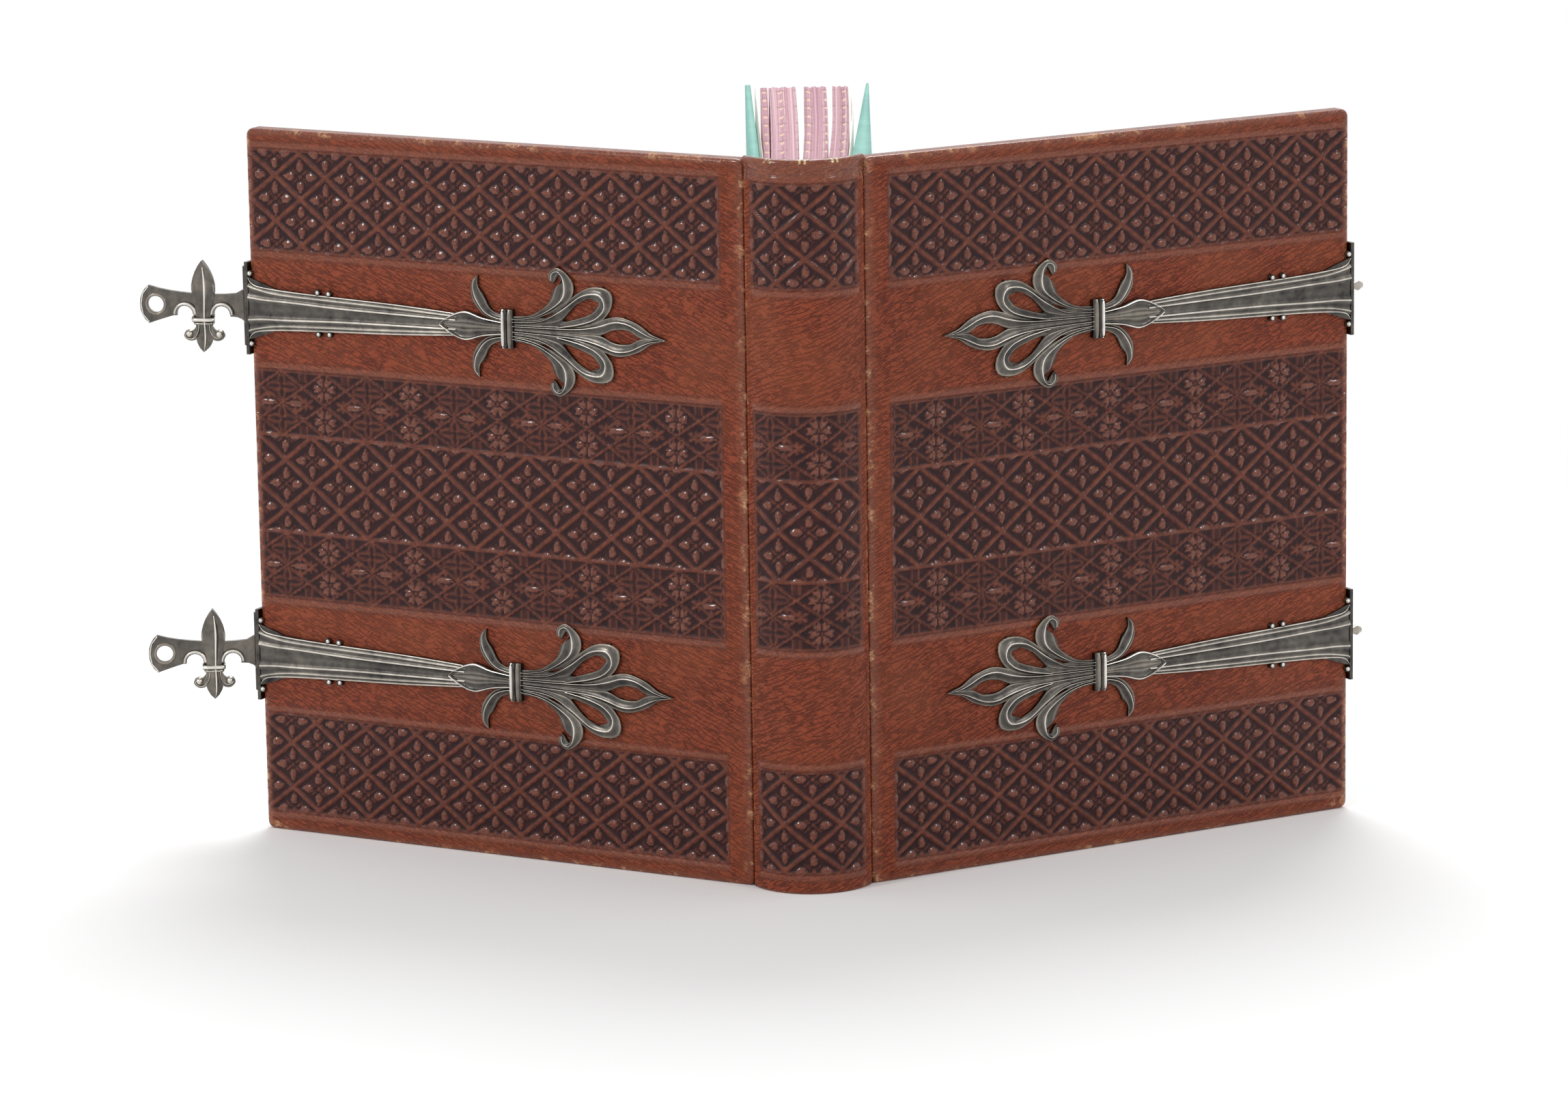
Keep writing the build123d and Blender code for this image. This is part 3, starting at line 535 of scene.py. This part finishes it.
def makeSpineLeather():
    half = math.radians(book["spineAngle"])
    radius, arc = book["spineRadius"], book["spineRadius"] * half
    arcs = np.concatenate([[-arc, -arc + 0.12, -arc + 0.4], np.arange(-arc + 0.8, arc - 0.79, spine["fine"]),
                           [arc - 0.4, arc - 0.12, arc]])
    ups = np.concatenate([upRows[(upRows > 0.6) & (upRows < 186)], np.arange(186.4, 188.9, 0.3)])
    across, up = np.meshgrid(arcs, ups)
    lift, masks = toolLeather(across, up, spine["phase"], -spine["panel"], spine["panel"])
    roundness = np.clip(0.5 - (arc - abs(across)), 0, 0.5) ** 2 / 0.5
    out = radius - (1 - lift) * tooling["depth"] - roundness
    capLine = np.exp(-((up - 188.0) / 0.3) ** 2) + 0.7 * np.exp(-((up - 186.9) / 0.3) ** 2)
    out = out - capLine * spine["capLine"]

    def level(values):  # rows at one value each, right across the spine
        return np.repeat([[value] for value in values], len(arcs), 1)

    capAngles = np.radians(np.linspace(-20, 215, 20))  # the roll of leather over the head
    capOut = [radius - spine["capDrop"] + spine["capRadius"] * math.cos(a) for a in capAngles]
    capUp = [spine["capTop"] + spine["capRadius"] * math.sin(a) for a in capAngles]
    tailOut = [radius + shift for shift, rise in spine["tail"]]
    tailUp = [rise for shift, rise in spine["tail"]]
    allOut = np.vstack([level(tailOut), out, level(capOut)])
    allUp = np.vstack([level(tailUp), up, level(capUp)])
    allAcross = np.repeat(across[:1], len(allUp), 0)
    phi = allAcross / radius
    points = np.stack([allOut * np.sin(phi), book["spineCentre"] - allOut * np.cos(phi), allUp], axis=-1)
    for key in masks:
        fill = {"plain": 1.0, "polish": 0.75}.get(key, 0.0)
        masks[key] = np.vstack([level([fill] * len(tailOut)), masks[key], level([fill] * len(capOut))])
    headBand = fade(allUp, 185.0, 185.5)
    masks["polish"] = np.maximum(masks["polish"], headBand)
    edge = arc - abs(allAcross)
    rim = 1 - fade(edge, 0.15, 1.3)
    masks["worn"] = np.maximum(rim * 0.9, 0.2 * headBand + 0.4 * (1 - fade(allUp, 0.5, 3)))
    ticks = np.zeros(allUp.shape)
    for middle in spine["ticks"]:  # pairs of pale gold ticks over the head
        for shift in (-0.75, 0.75):
            lean = (allUp - 190.3) * 0.25 * np.sign(shift) * -1
            ticks = np.maximum(ticks, 1 - fade(abs(allAcross - middle - shift - lean), 0.06, 0.3))
    masks["gilt"] = ticks * fade(allUp, 189.9, 190.2)
    masks["flat"] = np.stack([allAcross, allUp, allUp * 0 + 7], axis=-1)
    rows, columns = allUp.shape
    faces = [sheetFaces(rows, columns)]
    total = rows * columns
    index = np.arange(total).reshape(rows, columns)
    extra, extraMasks = [], {key: [value.reshape(-1, 3) if key == "flat" else value.ravel()]
                             for key, value in masks.items()}
    for column, way in ((0, -1), (columns - 1, 1)):  # the thin edges beside the joints
        here = index[:, column]
        depth = np.where(allUp[:, column] > 189, 0.02, 0.62)
        inward = [-depth * np.sin(phi[:, column]), depth * np.cos(phi[:, column]), depth * 0]
        extra.append(points[:, column] + np.stack(inward, axis=-1))
        now = np.arange(total, total + rows)
        ring = np.stack([here[:-1], here[1:], now[1:], now[:-1]], axis=-1)
        faces.append(ring if way < 0 else ring[:, ::-1])
        total += rows
        for key in masks:
            extraMasks[key].append(masks[key][:, column])
    joined = {key: np.concatenate(value) for key, value in extraMasks.items()}
    points = np.concatenate([points.reshape(-1, 3)] + extra)
    makePiece("spineTooled", points, np.concatenate(faces), "leather", "book_block",
              ["spine_leather"], joined)


makeSpineLeather()


# Silver: worked faces over the plain solids of the straps and clasps

strap = {
    "base": 0.94, "edge": 1.05, "ridge": 1.75,
    # distance from the fore-edge and half width
    "bar": [(0, 8.4), (0.7, 7.2), (2.4, 6.3), (6, 5.8), (13, 5.3), (28, 4.7), (45, 4.1), (60, 3.25),
            (64, 2.9)],
    "barRidge": [(0, 6.0), (1.5, 5.5), (8.7, 4.3), (23, 3.7), (42, 3.1), (60, 2.3), (64, 2.1)],
    "barInner": [(0, 3.0), (5, 2.6), (13, 2.4), (28, 1.8), (45, 1.5), (60, 1.3), (64, 1.2)],
    "leaf": [(58.6, 0), (61.4, 2.1), (66.3, 3.9), (71.5, 2.5), (78, 1.6)],
    # each limb is two edges, from the collar outward
    "horn": (
        [(79.6, 1.9), (77.6, 1.6), (72.2, 2.9), (68.5, 7.0), (68.4, 11.6), (70.2, 13.4)],
        [(79.6, 3.3), (77.6, 3.4), (75.3, 4.0), (73.3, 5.3), (72.0, 7.6), (70.2, 10.6), (70.2, 13.4)]),
    "arm": (
        [(77, 2.1), (84, 2.5), (91, 4.6), (97.4, 8.6), (98.7, 12), (97.2, 15), (93.9, 16.9), (91.4, 15.2),
         (91.6, 13.4)],
        [(77, 3.3), (82, 3.4), (86.3, 4.1), (91.3, 7.6), (93.4, 11.8), (95.2, 12.8), (95.2, 14.6),
         (93.8, 15), (93.0, 13.4)]),
    "loop": (
        [(77, 2.1), (86, 2.6), (90, 3.4), (93, 5.0), (98.9, 10), (104, 12.5), (109.2, 11.8), (109.9, 8),
         (106.9, 3.9), (101, 1.6), (93, 0.4)],
        [(77, 1.1), (86, 1.4), (92.5, 2.3), (95.1, 3.4), (99, 7.3), (103.7, 9.6), (106.2, 8.6), (105.2, 6.8),
         (103.6, 5.4), (99.5, 3.9), (95.0, 2.6)]),
    "tip": (
        [(77, 1.1), (92, 1.5), (101, 2.2), (107.2, 4.3), (112, 5.2), (117.4, 3.7), (121.4, 1.2), (125.5, 0)],
        [(77, 0.0), (92, 0.05), (101, 0.1), (106.3, 0.1), (110.3, 1.7), (114.6, 1.8), (118.4, 0.1),
         (125.5, 0)]),
    "scrolls": (21.4, 24.8), "beads": (0.6, 9.4),
}


def curve(points, count):  # a smooth line through points, evenly spaced
    at = np.array([points[0]] + list(points) + [points[-1]], dtype=float)
    line = []
    for a, b, c, d in zip(at, at[1:], at[2:], at[3:]):
        for t in np.linspace(0, 1, 12, endpoint=False):
            square, cube = 2 * a - 5 * b + 4 * c - d, 3 * b - a - 3 * c + d
            line.append(0.5 * (2 * b + (c - a) * t + square * t ** 2 + cube * t ** 3))
    line = np.array(line + [at[-1]])
    run = np.concatenate([[0], np.cumsum(np.hypot(*np.diff(line, axis=0).T))])
    even = np.linspace(0, run[-1], count)
    return np.stack([np.interp(even, run, line[:, 0]), np.interp(even, run, line[:, 1])], axis=-1)


class Forge:  # gathers worked faces in one frame: along, across, height, and how bright each point is, partly rubbed silver and partly painted highlight on the crests
    def __init__(self):
        self.points, self.faces, self.rub, self.total = [], [], [], 0

    def add(self, points, rub, flip=False, closed=False):
        rows, columns = points.shape[:2]
        if closed:
            points = np.concatenate([points, points[:, :1]], axis=1)
            rub = np.concatenate([rub, rub[:, :1]], axis=1)
            columns += 1
        self.points.append(points.reshape(-1, 3))
        self.rub.append(rub.ravel())
        self.faces.append(sheetFaces(rows, columns, flip) + self.total)
        self.total += rows * columns

    def both(self, points, rub):  # a form and its mirror image across the middle line
        self.add(points, rub)
        self.add(points * np.array([1, -1, 1]), rub, flip=True)

    def halves(self, along, half):  # a form from half its section, mirrored across the middle line
        columns = [np.column_stack([along, wide, along * 0 + high]) for wide, high, rub in half]
        rubsAndHighlights = [along * 0 + rub for wide, high, rub in half]
        columns += [column * np.array([1, -1, 1]) for column in columns[-2::-1]]
        rubsAndHighlights += rubsAndHighlights[-2::-1]
        self.add(np.stack(columns, axis=1), np.stack(rubsAndHighlights, axis=1), flip=True)

    def blade(self, one, two, low, edge, top, count=26, mirror=True, taper=True):
        # a limb between two edges, hollow each side of a sharp ridge
        one, two = curve(one, count), curve(two, count)
        t = np.linspace(0, 1, count)
        fall = (1 - fade(t, 0.82, 1.0) * 0.75) if taper else np.ones(count)
        columns, rubsAndHighlights, hollow = [], [], low + (top - low) * 0.4
        section = [  # share of the width, height, how bright: rubbed silver with painted highlight on the ridge
            (0, low - 0.25, 0.1), (0, low, 0.15), (0.05, edge, 0.4), (0.12, edge - 0.03, 0.1),
            (0.26, hollow, 0.05), (0.35, top - 0.16, 0.2), (0.4, top, 0.95), (0.45, top - 0.16, 0.2),
            (0.58, hollow, 0.0), (0.84, edge - 0.05, 0.02), (0.95, edge, 0.3), (1, low, 0.1),
            (1, low - 0.25, 0.1),
        ]
        for share, height, rub in section:
            place = one + (two - one) * share
            level = low + (height - low) * np.where(height > low, fall, 1)
            columns.append(np.column_stack([place, level]))
            rubsAndHighlights.append(np.full(count, rub))
        grid, rub = np.stack(columns, axis=1), np.stack(rubsAndHighlights, axis=1)
        if mirror:
            self.both(grid, rub)
        else:
            self.add(grid, rub)

    def dome(self, centre, radius, low, top, rub=0.8, mirror=True):
        turns, rises = np.linspace(0, 2 * math.pi, 17)[:-1], np.linspace(0, math.pi / 2, 6)
        x, y = centre
        rows = [[(x + radius * math.cos(r) * math.cos(a), y + radius * math.cos(r) * math.sin(a),
                  low + (top - low) * math.sin(r)) for a in turns] for r in rises]
        # painted highlight: brighter towards the top of the dome
        shine = np.repeat([[0.1 + (rub - 0.1) * math.sin(r)] for r in rises], 16, 1)
        self.add(np.array(rows), shine, closed=True)
        if mirror:
            self.add(np.array(rows) * np.array([1, -1, 1]), shine, flip=True, closed=True)

    def rib(self, start, end, wide, low, top, ends=0.6, rub=0.9):
        # a rounded rib between two places, painted bright along its top: rubbed silver with a painted
        # highlight
        start, end = np.array(start, dtype=float), np.array(end, dtype=float)
        way = (end - start) / np.hypot(*(end - start))
        side = np.array([-way[1], way[0]])
        rows, shine = [], []
        for t in np.linspace(0, 1, 15):
            bow = 1 - (abs(2 * t - 1)) ** 6 * ends
            row, light = [], []
            for a in np.linspace(0, math.pi, 9):
                place = start + (end - start) * t + side * wide * math.cos(a)
                row.append((*place, low + (top - low) * math.sin(a) * bow))
                light.append(rub * math.sin(a) ** 3)
            rows.append(row)
            shine.append(light)
        self.add(np.array(rows), np.array(shine), flip=True)

    def arc(self, centre, radius, wide, low, top, start, end, rub=0.6):  # a rounded rib bent to a circle
        rows, shine = [], []
        for turn in np.linspace(math.radians(start), math.radians(end), 15):
            row, light = [], []
            for a in np.linspace(0, math.pi, 8):
                away = radius + wide * math.cos(a)
                row.append((centre[0] + away * math.cos(turn), centre[1] + away * math.sin(turn),
                            low + (top - low) * math.sin(a)))
                # painted highlight: brightest along the top of the rib
                light.append(rub * math.sin(a) ** 2)
            rows.append(row)
            shine.append(light)
        self.add(np.array(rows), np.array(shine))


def workedStrap():
    forge = Forge()
    low, edge, top = strap["base"], strap["edge"], strap["ridge"]
    steps = np.concatenate([np.linspace(0, 6, 14), np.linspace(7.5, 63.6, 27)])
    lines = [strap[key] for key in ("bar", "barRidge", "barInner")]
    outer, middle, inner = (np.interp(steps, *curve(line, 90).T) for line in lines)
    centre = low + 0.12
    forge.halves(steps, [  # half width, height, how bright: rubbed silver with painted highlight on the ridges
        (outer, low - 0.25, 0.1), (outer, edge, 0.3), (outer - 0.2, edge + 0.16, 0.8),
        (outer - 0.45, edge, 0.1), ((outer + middle) / 2, low + 0.02, 0.0), (middle + 0.28, top - 0.55, 0.1),
        (middle, top - 0.32, 0.75), (middle - 0.28, top - 0.55, 0.1),
        ((middle + inner) / 2, low + 0.08, 0.0), (inner + 0.3, top - 0.32, 0.15), (inner, top, 0.85),
        (inner - 0.3, top - 0.42, 0.1),
        (inner * 0.55, centre, 0.0), (inner * 0, centre - 0.05, 0.08),
    ])
    leafAlong = np.linspace(58.8, 77.6, 24)
    wide = np.interp(leafAlong, *curve(strap["leaf"], 80).T)
    high = low + 0.42  # the leaf lies over the end of the bar, hollow between two bright lines
    forge.halves(leafAlong, [
        (wide, low - 0.25, 0.1), (wide, high - 0.1, 0.3), (wide * 0.93, high + 0.55, 1.0),
        (wide * 0.8, high + 0.05, 0.1), (wide * 0.5, high - 0.02, 0.0), (wide * 0.3, high + 0.12, 0.3),
        (wide * 0.2, high - 0.02, 0.0), (wide * 0, high + 0.1, 0.35),
    ])
    forge.blade(*strap["horn"], low, edge, top)
    forge.blade(*strap["loop"], low, edge, top - 0.05, count=44, taper=False)
    forge.blade(*strap["arm"], low, edge + 0.02, top + 0.05, count=44)
    forge.blade(*strap["tip"], low + 0.01, edge, top, count=40, taper=False)
    forge.rib((78.0, -5.1), (78.0, 5.1), 0.8, 0.6, 2.7, ends=0.3)
    forge.rib((79.75, -5.1), (79.75, 5.1), 0.95, 0.6, 2.42, ends=0.3, rub=0.35)
    for place in strap["scrolls"]:
        edgeHere = float(np.interp(place, *curve(strap["bar"], 90).T))
        forge.dome((place, edgeHere + 0.62), 0.86, 0.5, 1.5)
    forge.dome(strap["beads"], 0.85, 0.4, 1.75)
    return forge


clasp = {
    "lily": book["reach"] * 0.48, "arch": 5.05, "archRadius": 2.3, "archHeight": -2.5,
    "petal": [(0, 12.0), (2.0, 9.0), (3.15, 5.0), (2.6, 0.5), (2.0, -3.6)],
    "foot": [(1.9, -4.4), (2.4, -8.0), (1.7, -10.8), (0, -12.6)],
    "fluke": ([(0.5, -5.2), (1.0, -7.6), (2.4, -9.5), (4.3, -9.7), (5.6, -8.4), (5.0, -6.9)],
              [(2.3, -5.2), (2.3, -6.6), (2.9, -7.9), (3.9, -8.3), (4.4, -7.9), (4.6, -7.2)]),
    "eyeRim": [(1.9, -4.8), (3.5, -2.8), (4.0, 0), (3.5, 2.8), (1.9, 4.8)],
    "swing": {"upper": 18, "lower": 32},
}


def workedClasp():
    forge = Forge()
    lily = clasp["lily"]
    for line, low, top in ((clasp["petal"], 0.24, 1.62), (clasp["foot"], 0.06, 1.32)):
        half = [(x * 1.01, y) for x, y in line[::-1]]
        left, right = [(lily - x, y) for x, y in half], [(lily + x, y) for x, y in half]
        forge.blade(left, right, low, low + 0.16, top, count=30, mirror=False, taper=line[0][0] == 0)
    forge.rib((lily - 3.1, -3.9), (lily + 3.1, -3.9), 0.85, -0.2, 1.95, ends=0.35, rub=0.7)
    forge.rib((lily - 2.6, -4.95), (lily + 2.6, -4.95), 0.45, 0.0, 1.3, rub=0.5)
    for side in (1, -1):
        middle = (lily + side * clasp["arch"], clasp["archHeight"])
        forge.arc(middle, clasp["archRadius"] + 0.5, 0.56, 0.1, 1.0, 0, 180)
        forge.dome((lily + side * 4.1, -7.9), 1.2, -0.4, 1.1, mirror=False, rub=0.6)
        fluke = [[(lily + side * x, y) for x, y in line] for line in clasp["fluke"]]
        forge.blade(*(fluke if side > 0 else fluke[::-1]), -0.3, 0.3, 0.95, count=24, mirror=False)
    forge.arc((book["reach"], 0), 2.65, 0.4, 0.1, 0.36, 0, 360, rub=0.3)
    rim = [(book["reach"] + x, y) for x, y in clasp["eyeRim"]]
    for a, b in zip(rim, rim[1:]):
        forge.rib(a, b, 0.22, 0.1, 0.36, ends=0.1)
    return forge


def placeSilver(name, forge, points, look, body, flip):
    faces = np.concatenate(forge.faces)
    makePiece(name, points, faces[:, ::-1] if flip else faces, look, body, (),
              {"rub": np.concatenate(forge.rub)})


def placeStrap(forge, side, sideName, level, middle):
    along, across, high = np.concatenate(forge.points).T
    points = onCover(side, book["width"] - along, book["outerFace"] + high, middle + across)
    placeSilver(f"{sideName}_{level}_strapWorked", forge, points, "silver", f"{sideName}_cover", side > 0)


def placeClasp(forge, level, middle):
    hinge = onCover(-1, book["hingeX"], book["hingeY"], middle)
    swing = math.radians(90 + book["opening"] + clasp["swing"][level])
    along = np.array([math.cos(swing), math.sin(swing), 0])
    facing = np.array([-math.sin(swing), math.cos(swing), 0])
    points = np.concatenate(forge.points)
    points = hinge + points[:, :1] * along + points[:, 2:] * facing + points[:, 1:2] * np.array([0, 0, 1.0])
    placeSilver(f"{level}_claspWorked", forge, points, "claspSilver", f"{level}_clasp", False)


strapForge, claspForge = workedStrap(), workedClasp()
middles = {"upper": book["height"] / 2 + book["strapOffset"],
           "lower": book["height"] / 2 - book["strapOffset"]}
for sideName, side in (("front", 1), ("back", -1)):
    for level, middle in middles.items():
        placeStrap(strapForge, side, sideName, level, middle)
for level, middle in middles.items():
    placeClasp(claspForge, level, middle)


# The leaves, fanned a little as the book stands open

leaves = {
    "top": 188.0, "foot": 2.0, "start": 14.0, "end": book["leafEnd"], "keep": 0.62,
    "dotPitch": 15.6, "firstDot": 20.0, "dotColumns": (-8.9, -5.0, -0.4, 1.2, 6.0, 9.9),
    # name, left and right near the spine, left and right at the fore-edge, whether it gets its own copy of
    # the mesh
    "gatherings": [
        ("leafThin", -9.9, -9.75, -10.4, -10.2, False), ("gatheringA", -9.6, -8.2, -8.9, -7.0, False),
        ("gatheringB", -8.0, -0.8, -6.6, 0.8, False), ("gatheringC", 0.0, 6.3, 3.1, 9.2, True),
        ("gatheringD", 6.5, 11.2, 10.9, 15.2, True), ("leafLast", 11.4, 11.55, 16.0, 16.5, True),
    ],
}


def makeGathering(name, near0, near1, far0, far1, folds):
    ys = np.linspace(leaves["start"], leaves["end"], 60)
    t = (ys - leaves["start"]) / (leaves["end"] - leaves["start"])
    ease = t + 0.12 * np.sin(math.pi * t)  # the leaves bow as they fan
    left, right = near0 + (far0 - near0) * ease, near1 + (far1 - near1) * ease
    across = np.linspace(0, 1, 25)
    rings, flats, gilts, shades = [], [], [], []
    wide = max(near1 - near0, 0.05)
    wobble = 0.16 * np.sin(across * 17 + near0) + 0.1 * np.sin(across * 41 + near0 * 3)
    for y, x0, x1 in zip(ys, left, right):
        xs = x0 + (x1 - x0) * across
        top = leaves["top"] - 0.3 + wobble * min(1, wide / 2)
        sideUp = np.linspace(leaves["top"] - 0.3, leaves["foot"] + 0.3, 6)[1:-1]
        ring = [(x, y, z) for x, z in zip(xs, top)] + [(x1, y, z) for z in sideUp]
        ring += [(x, y, leaves["foot"] + 0.2) for x in xs[::-1]] + [(x0, y, z) for z in sideUp[::-1]]
        rings.append(ring)
        place = near0 + (near1 - near0) * across
        step = (y - leaves["firstDot"]) / leaves["dotPitch"]
        pastDot = (step - round(step)) * leaves["dotPitch"]
        dots, arcs = np.zeros(len(across)), np.zeros(len(across))
        for column in leaves["dotColumns"]:  # a gilt point, and a tooled arc behind it
            off = place - column
            dots = np.maximum(dots, 1 - fade(np.hypot(off / 0.6, abs(pastDot) / 2.0), 0.5, 1.1))
            behind = pastDot - 3.0 + 0.8 * off ** 2 * 0.5
            arcs = np.maximum(arcs, (1 - fade(abs(behind), 0.4, 1.3)) * (1 - fade(abs(off), 0.9, 1.5)))
        rest = len(ring) - len(across)
        flats += [(p, y, 0) for p in place] + [(near1, y, 0)] * len(sideUp)
        flats += [(p, y, 9) for p in place[::-1]] + [(near0, y, 0)] * len(sideUp)
        gilts += list(dots) + [0] * rest
        shades += list(arcs * 0.55) + [0.0] * rest
    rings = np.array(rings)
    masks = {"flat": np.array(flats, dtype=float), "gilt": gilts, "shade": shades}
    faces = tubeFaces(*rings.shape[:2], True)
    look = "leaves" if wide > 0.5 else "white"
    stands = ["text_block"] if name == "gatheringB" else ()
    piece = makePiece(name, rings, faces, look, "book_block", stands, masks)
    if folds:
        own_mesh(piece)


for row in leaves["gatherings"]:
    makeGathering(*row)


flyleaves = {
    "top": 189.0, "foot": 2.0, "start": 12.0, "bulge": 0.25,
    # name, node, both faces near the spine and at the fore-edge, the cover on its side, a place across, a
    # share to keep
    "sheets": [
        ("backFlyleafOpen", "back_flyleaf", (-13.2, -10.8), (-13.1, -11.6), "back_cover", -10.3, 0.05),
        ("frontFlyleafOpen", "front_flyleaf", (12.3, 17.6), (20.2, 20.9), "front_cover", 10.4, 0.03),
    ],
}


def makeFlyleaf(name, node, nears, fars, joint, anchor, keep):
    # a bent leaf of teal paper: its top edge shows from the spine as a band between two lines
    ys = np.linspace(flyleaves["start"], leaves["end"] - 0.4, 40)
    zs = np.linspace(flyleaves["foot"], flyleaves["top"] - 0.4, 10)
    bulge = flyleaves["bulge"] * np.sin((zs - leaves["foot"]) / (leaves["top"] - leaves["foot"]) * math.pi)
    rings = []
    for y, t in zip(ys, (ys - flyleaves["start"]) / (ys[-1] - flyleaves["start"])):
        x0, x1 = (near + (far - near) * t for near, far in zip(nears, fars))
        ring = [(x1 + b, y, z) for b, z in zip(bulge, zs)]
        rings.append(ring + [(x0 + b, y, z) for b, z in zip(bulge[::-1], zs[::-1])])
    rings = np.array(rings)
    piece = makePiece(name, rings, tubeFaces(*rings.shape[:2]), "teal", "book_block", [node])
    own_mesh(piece)


for row in flyleaves["sheets"]:
    makeFlyleaf(*row)


# Camera, light and floor

view = {"place": (-28.6, -1632.5, 438.9), "yaw": 0.0136, "pitch": 0.2099, "roll": -0.0153, "lens": 150.47}
yaw, pitch, roll = view["yaw"], view["pitch"], view["roll"]
ahead = Vector((math.sin(yaw) * math.cos(pitch), math.cos(yaw) * math.cos(pitch), -math.sin(pitch)))
level = Vector((math.cos(yaw), -math.sin(yaw), 0))
above = level.cross(ahead)
right = level * math.cos(roll) + above * math.sin(roll)
upward = -level * math.sin(roll) + above * math.cos(roll)
camera = bpy.data.objects.new("camera", bpy.data.cameras.new("camera"))
camera.data.lens, camera.data.sensor_width = view["lens"], 36.0
camera.data.clip_start, camera.data.clip_end = 0.05, 20
turn = Matrix((right, upward, -ahead)).transposed().to_4x4()
camera.matrix_world = Matrix.Translation(Vector(view["place"]) * mm) @ turn
bpy.context.scene.collection.objects.link(camera)
bpy.context.scene.camera = camera
bpy.context.scene.view_settings.view_transform = "Standard"

studio = {
    "world": 0.64,
    "lamps": [  # name, place, aim and size in metres, power in watts
        ("keyLamp", (-1.1, -0.72, 0.95), (-0.03, 0.04, 0.1), 0.22, 5.6),
        ("fillLamp", (1.1, -0.8, 0.9), (0.05, 0.04, 0.1), 0.22, 3.0),
        ("topLamp", (0.1, 0.75, 1.1), (0.0, 0.05, 0.05), 0.7, 8.0),
    ],
    "paper": (0.2, 0.62),  # the paper turns plain white between these metres
    "floor": 4000,  # half its side
}
world = bpy.data.worlds.new("studio")
bpy.context.scene.world = world
world.use_nodes = True
world.node_tree.nodes.clear()
air = Wire(world.node_tree)
rays = ("Is Camera Ray", "Is Glossy Ray", "Is Transmission Ray")
seen = [air.node("ShaderNodeLightPath", out=ray) for ray in rays]
seen = air.maths("MAXIMUM", air.maths("MAXIMUM", seen[0], seen[1]), seen[2])
soft = air.node("ShaderNodeBackground", {}, {"Color": (1, 1, 1, 1), "Strength": studio["world"]})
plainWhite = air.node("ShaderNodeBackground", {}, {"Color": (1, 1, 1, 1), "Strength": 1.0})
air.node("ShaderNodeOutputWorld", {},
         {"Surface": air.node("ShaderNodeMixShader", {}, {0: seen, 1: soft, 2: plainWhite})})


def addLamp(name, place, aim, size, power):
    lamp = bpy.data.lights.new(name, "AREA")
    lamp.shape, lamp.size, lamp.energy = "DISK", size, power
    made = bpy.data.objects.new(name, lamp)
    made.location = place
    made.rotation_euler = (Vector(aim) - Vector(place)).to_track_quat("-Z", "Y").to_euler()
    bpy.context.scene.collection.objects.link(made)


for lampRow in studio["lamps"]:
    addLamp(*lampRow)


def makeFloorMaterial():  # white paper near the book, plain white further out
    made = bpy.data.materials.new("paleFloor")
    made.use_nodes = True
    made.node_tree.nodes.clear()
    wire = Wire(made.node_tree)
    place = wire.node("ShaderNodeTexCoord", out="Object")
    away = wire.node("ShaderNodeVectorMath", {"operation": "LENGTH"}, {0: place}, out="Value")
    tone = wire.noise(place, 3.0).colour(paint(252, 252, 252), paint(255, 255, 255))
    paper = wire.node("ShaderNodeBsdfPrincipled", {},
                      {"Base Color": tone, "Roughness": 0.9, "Specular IOR Level": 0.1}, out="BSDF")
    seen = [wire.node("ShaderNodeLightPath", out=ray) for ray in ("Is Camera Ray", "Is Glossy Ray")]
    white = wire.node("ShaderNodeEmission", {}, {"Color": (1, 1, 1, 1), "Strength": 1.0})
    part = away.ramp(*studio["paper"]) * wire.maths("MAXIMUM", *seen)
    mixed = wire.node("ShaderNodeMixShader", {}, {0: part, 1: paper, 2: white})
    wire.node("ShaderNodeOutputMaterial", {}, {"Surface": mixed})
    return made


looks["floor"] = makeFloorMaterial()
wide = studio["floor"]
floor = makePiece("floor", [(-wide, -wide, 0), (wide, -wide, 0), (wide, wide, 0), (-wide, wide, 0)],
                  [(0, 1, 2, 3)], "floor", None)
print("camera and light set")
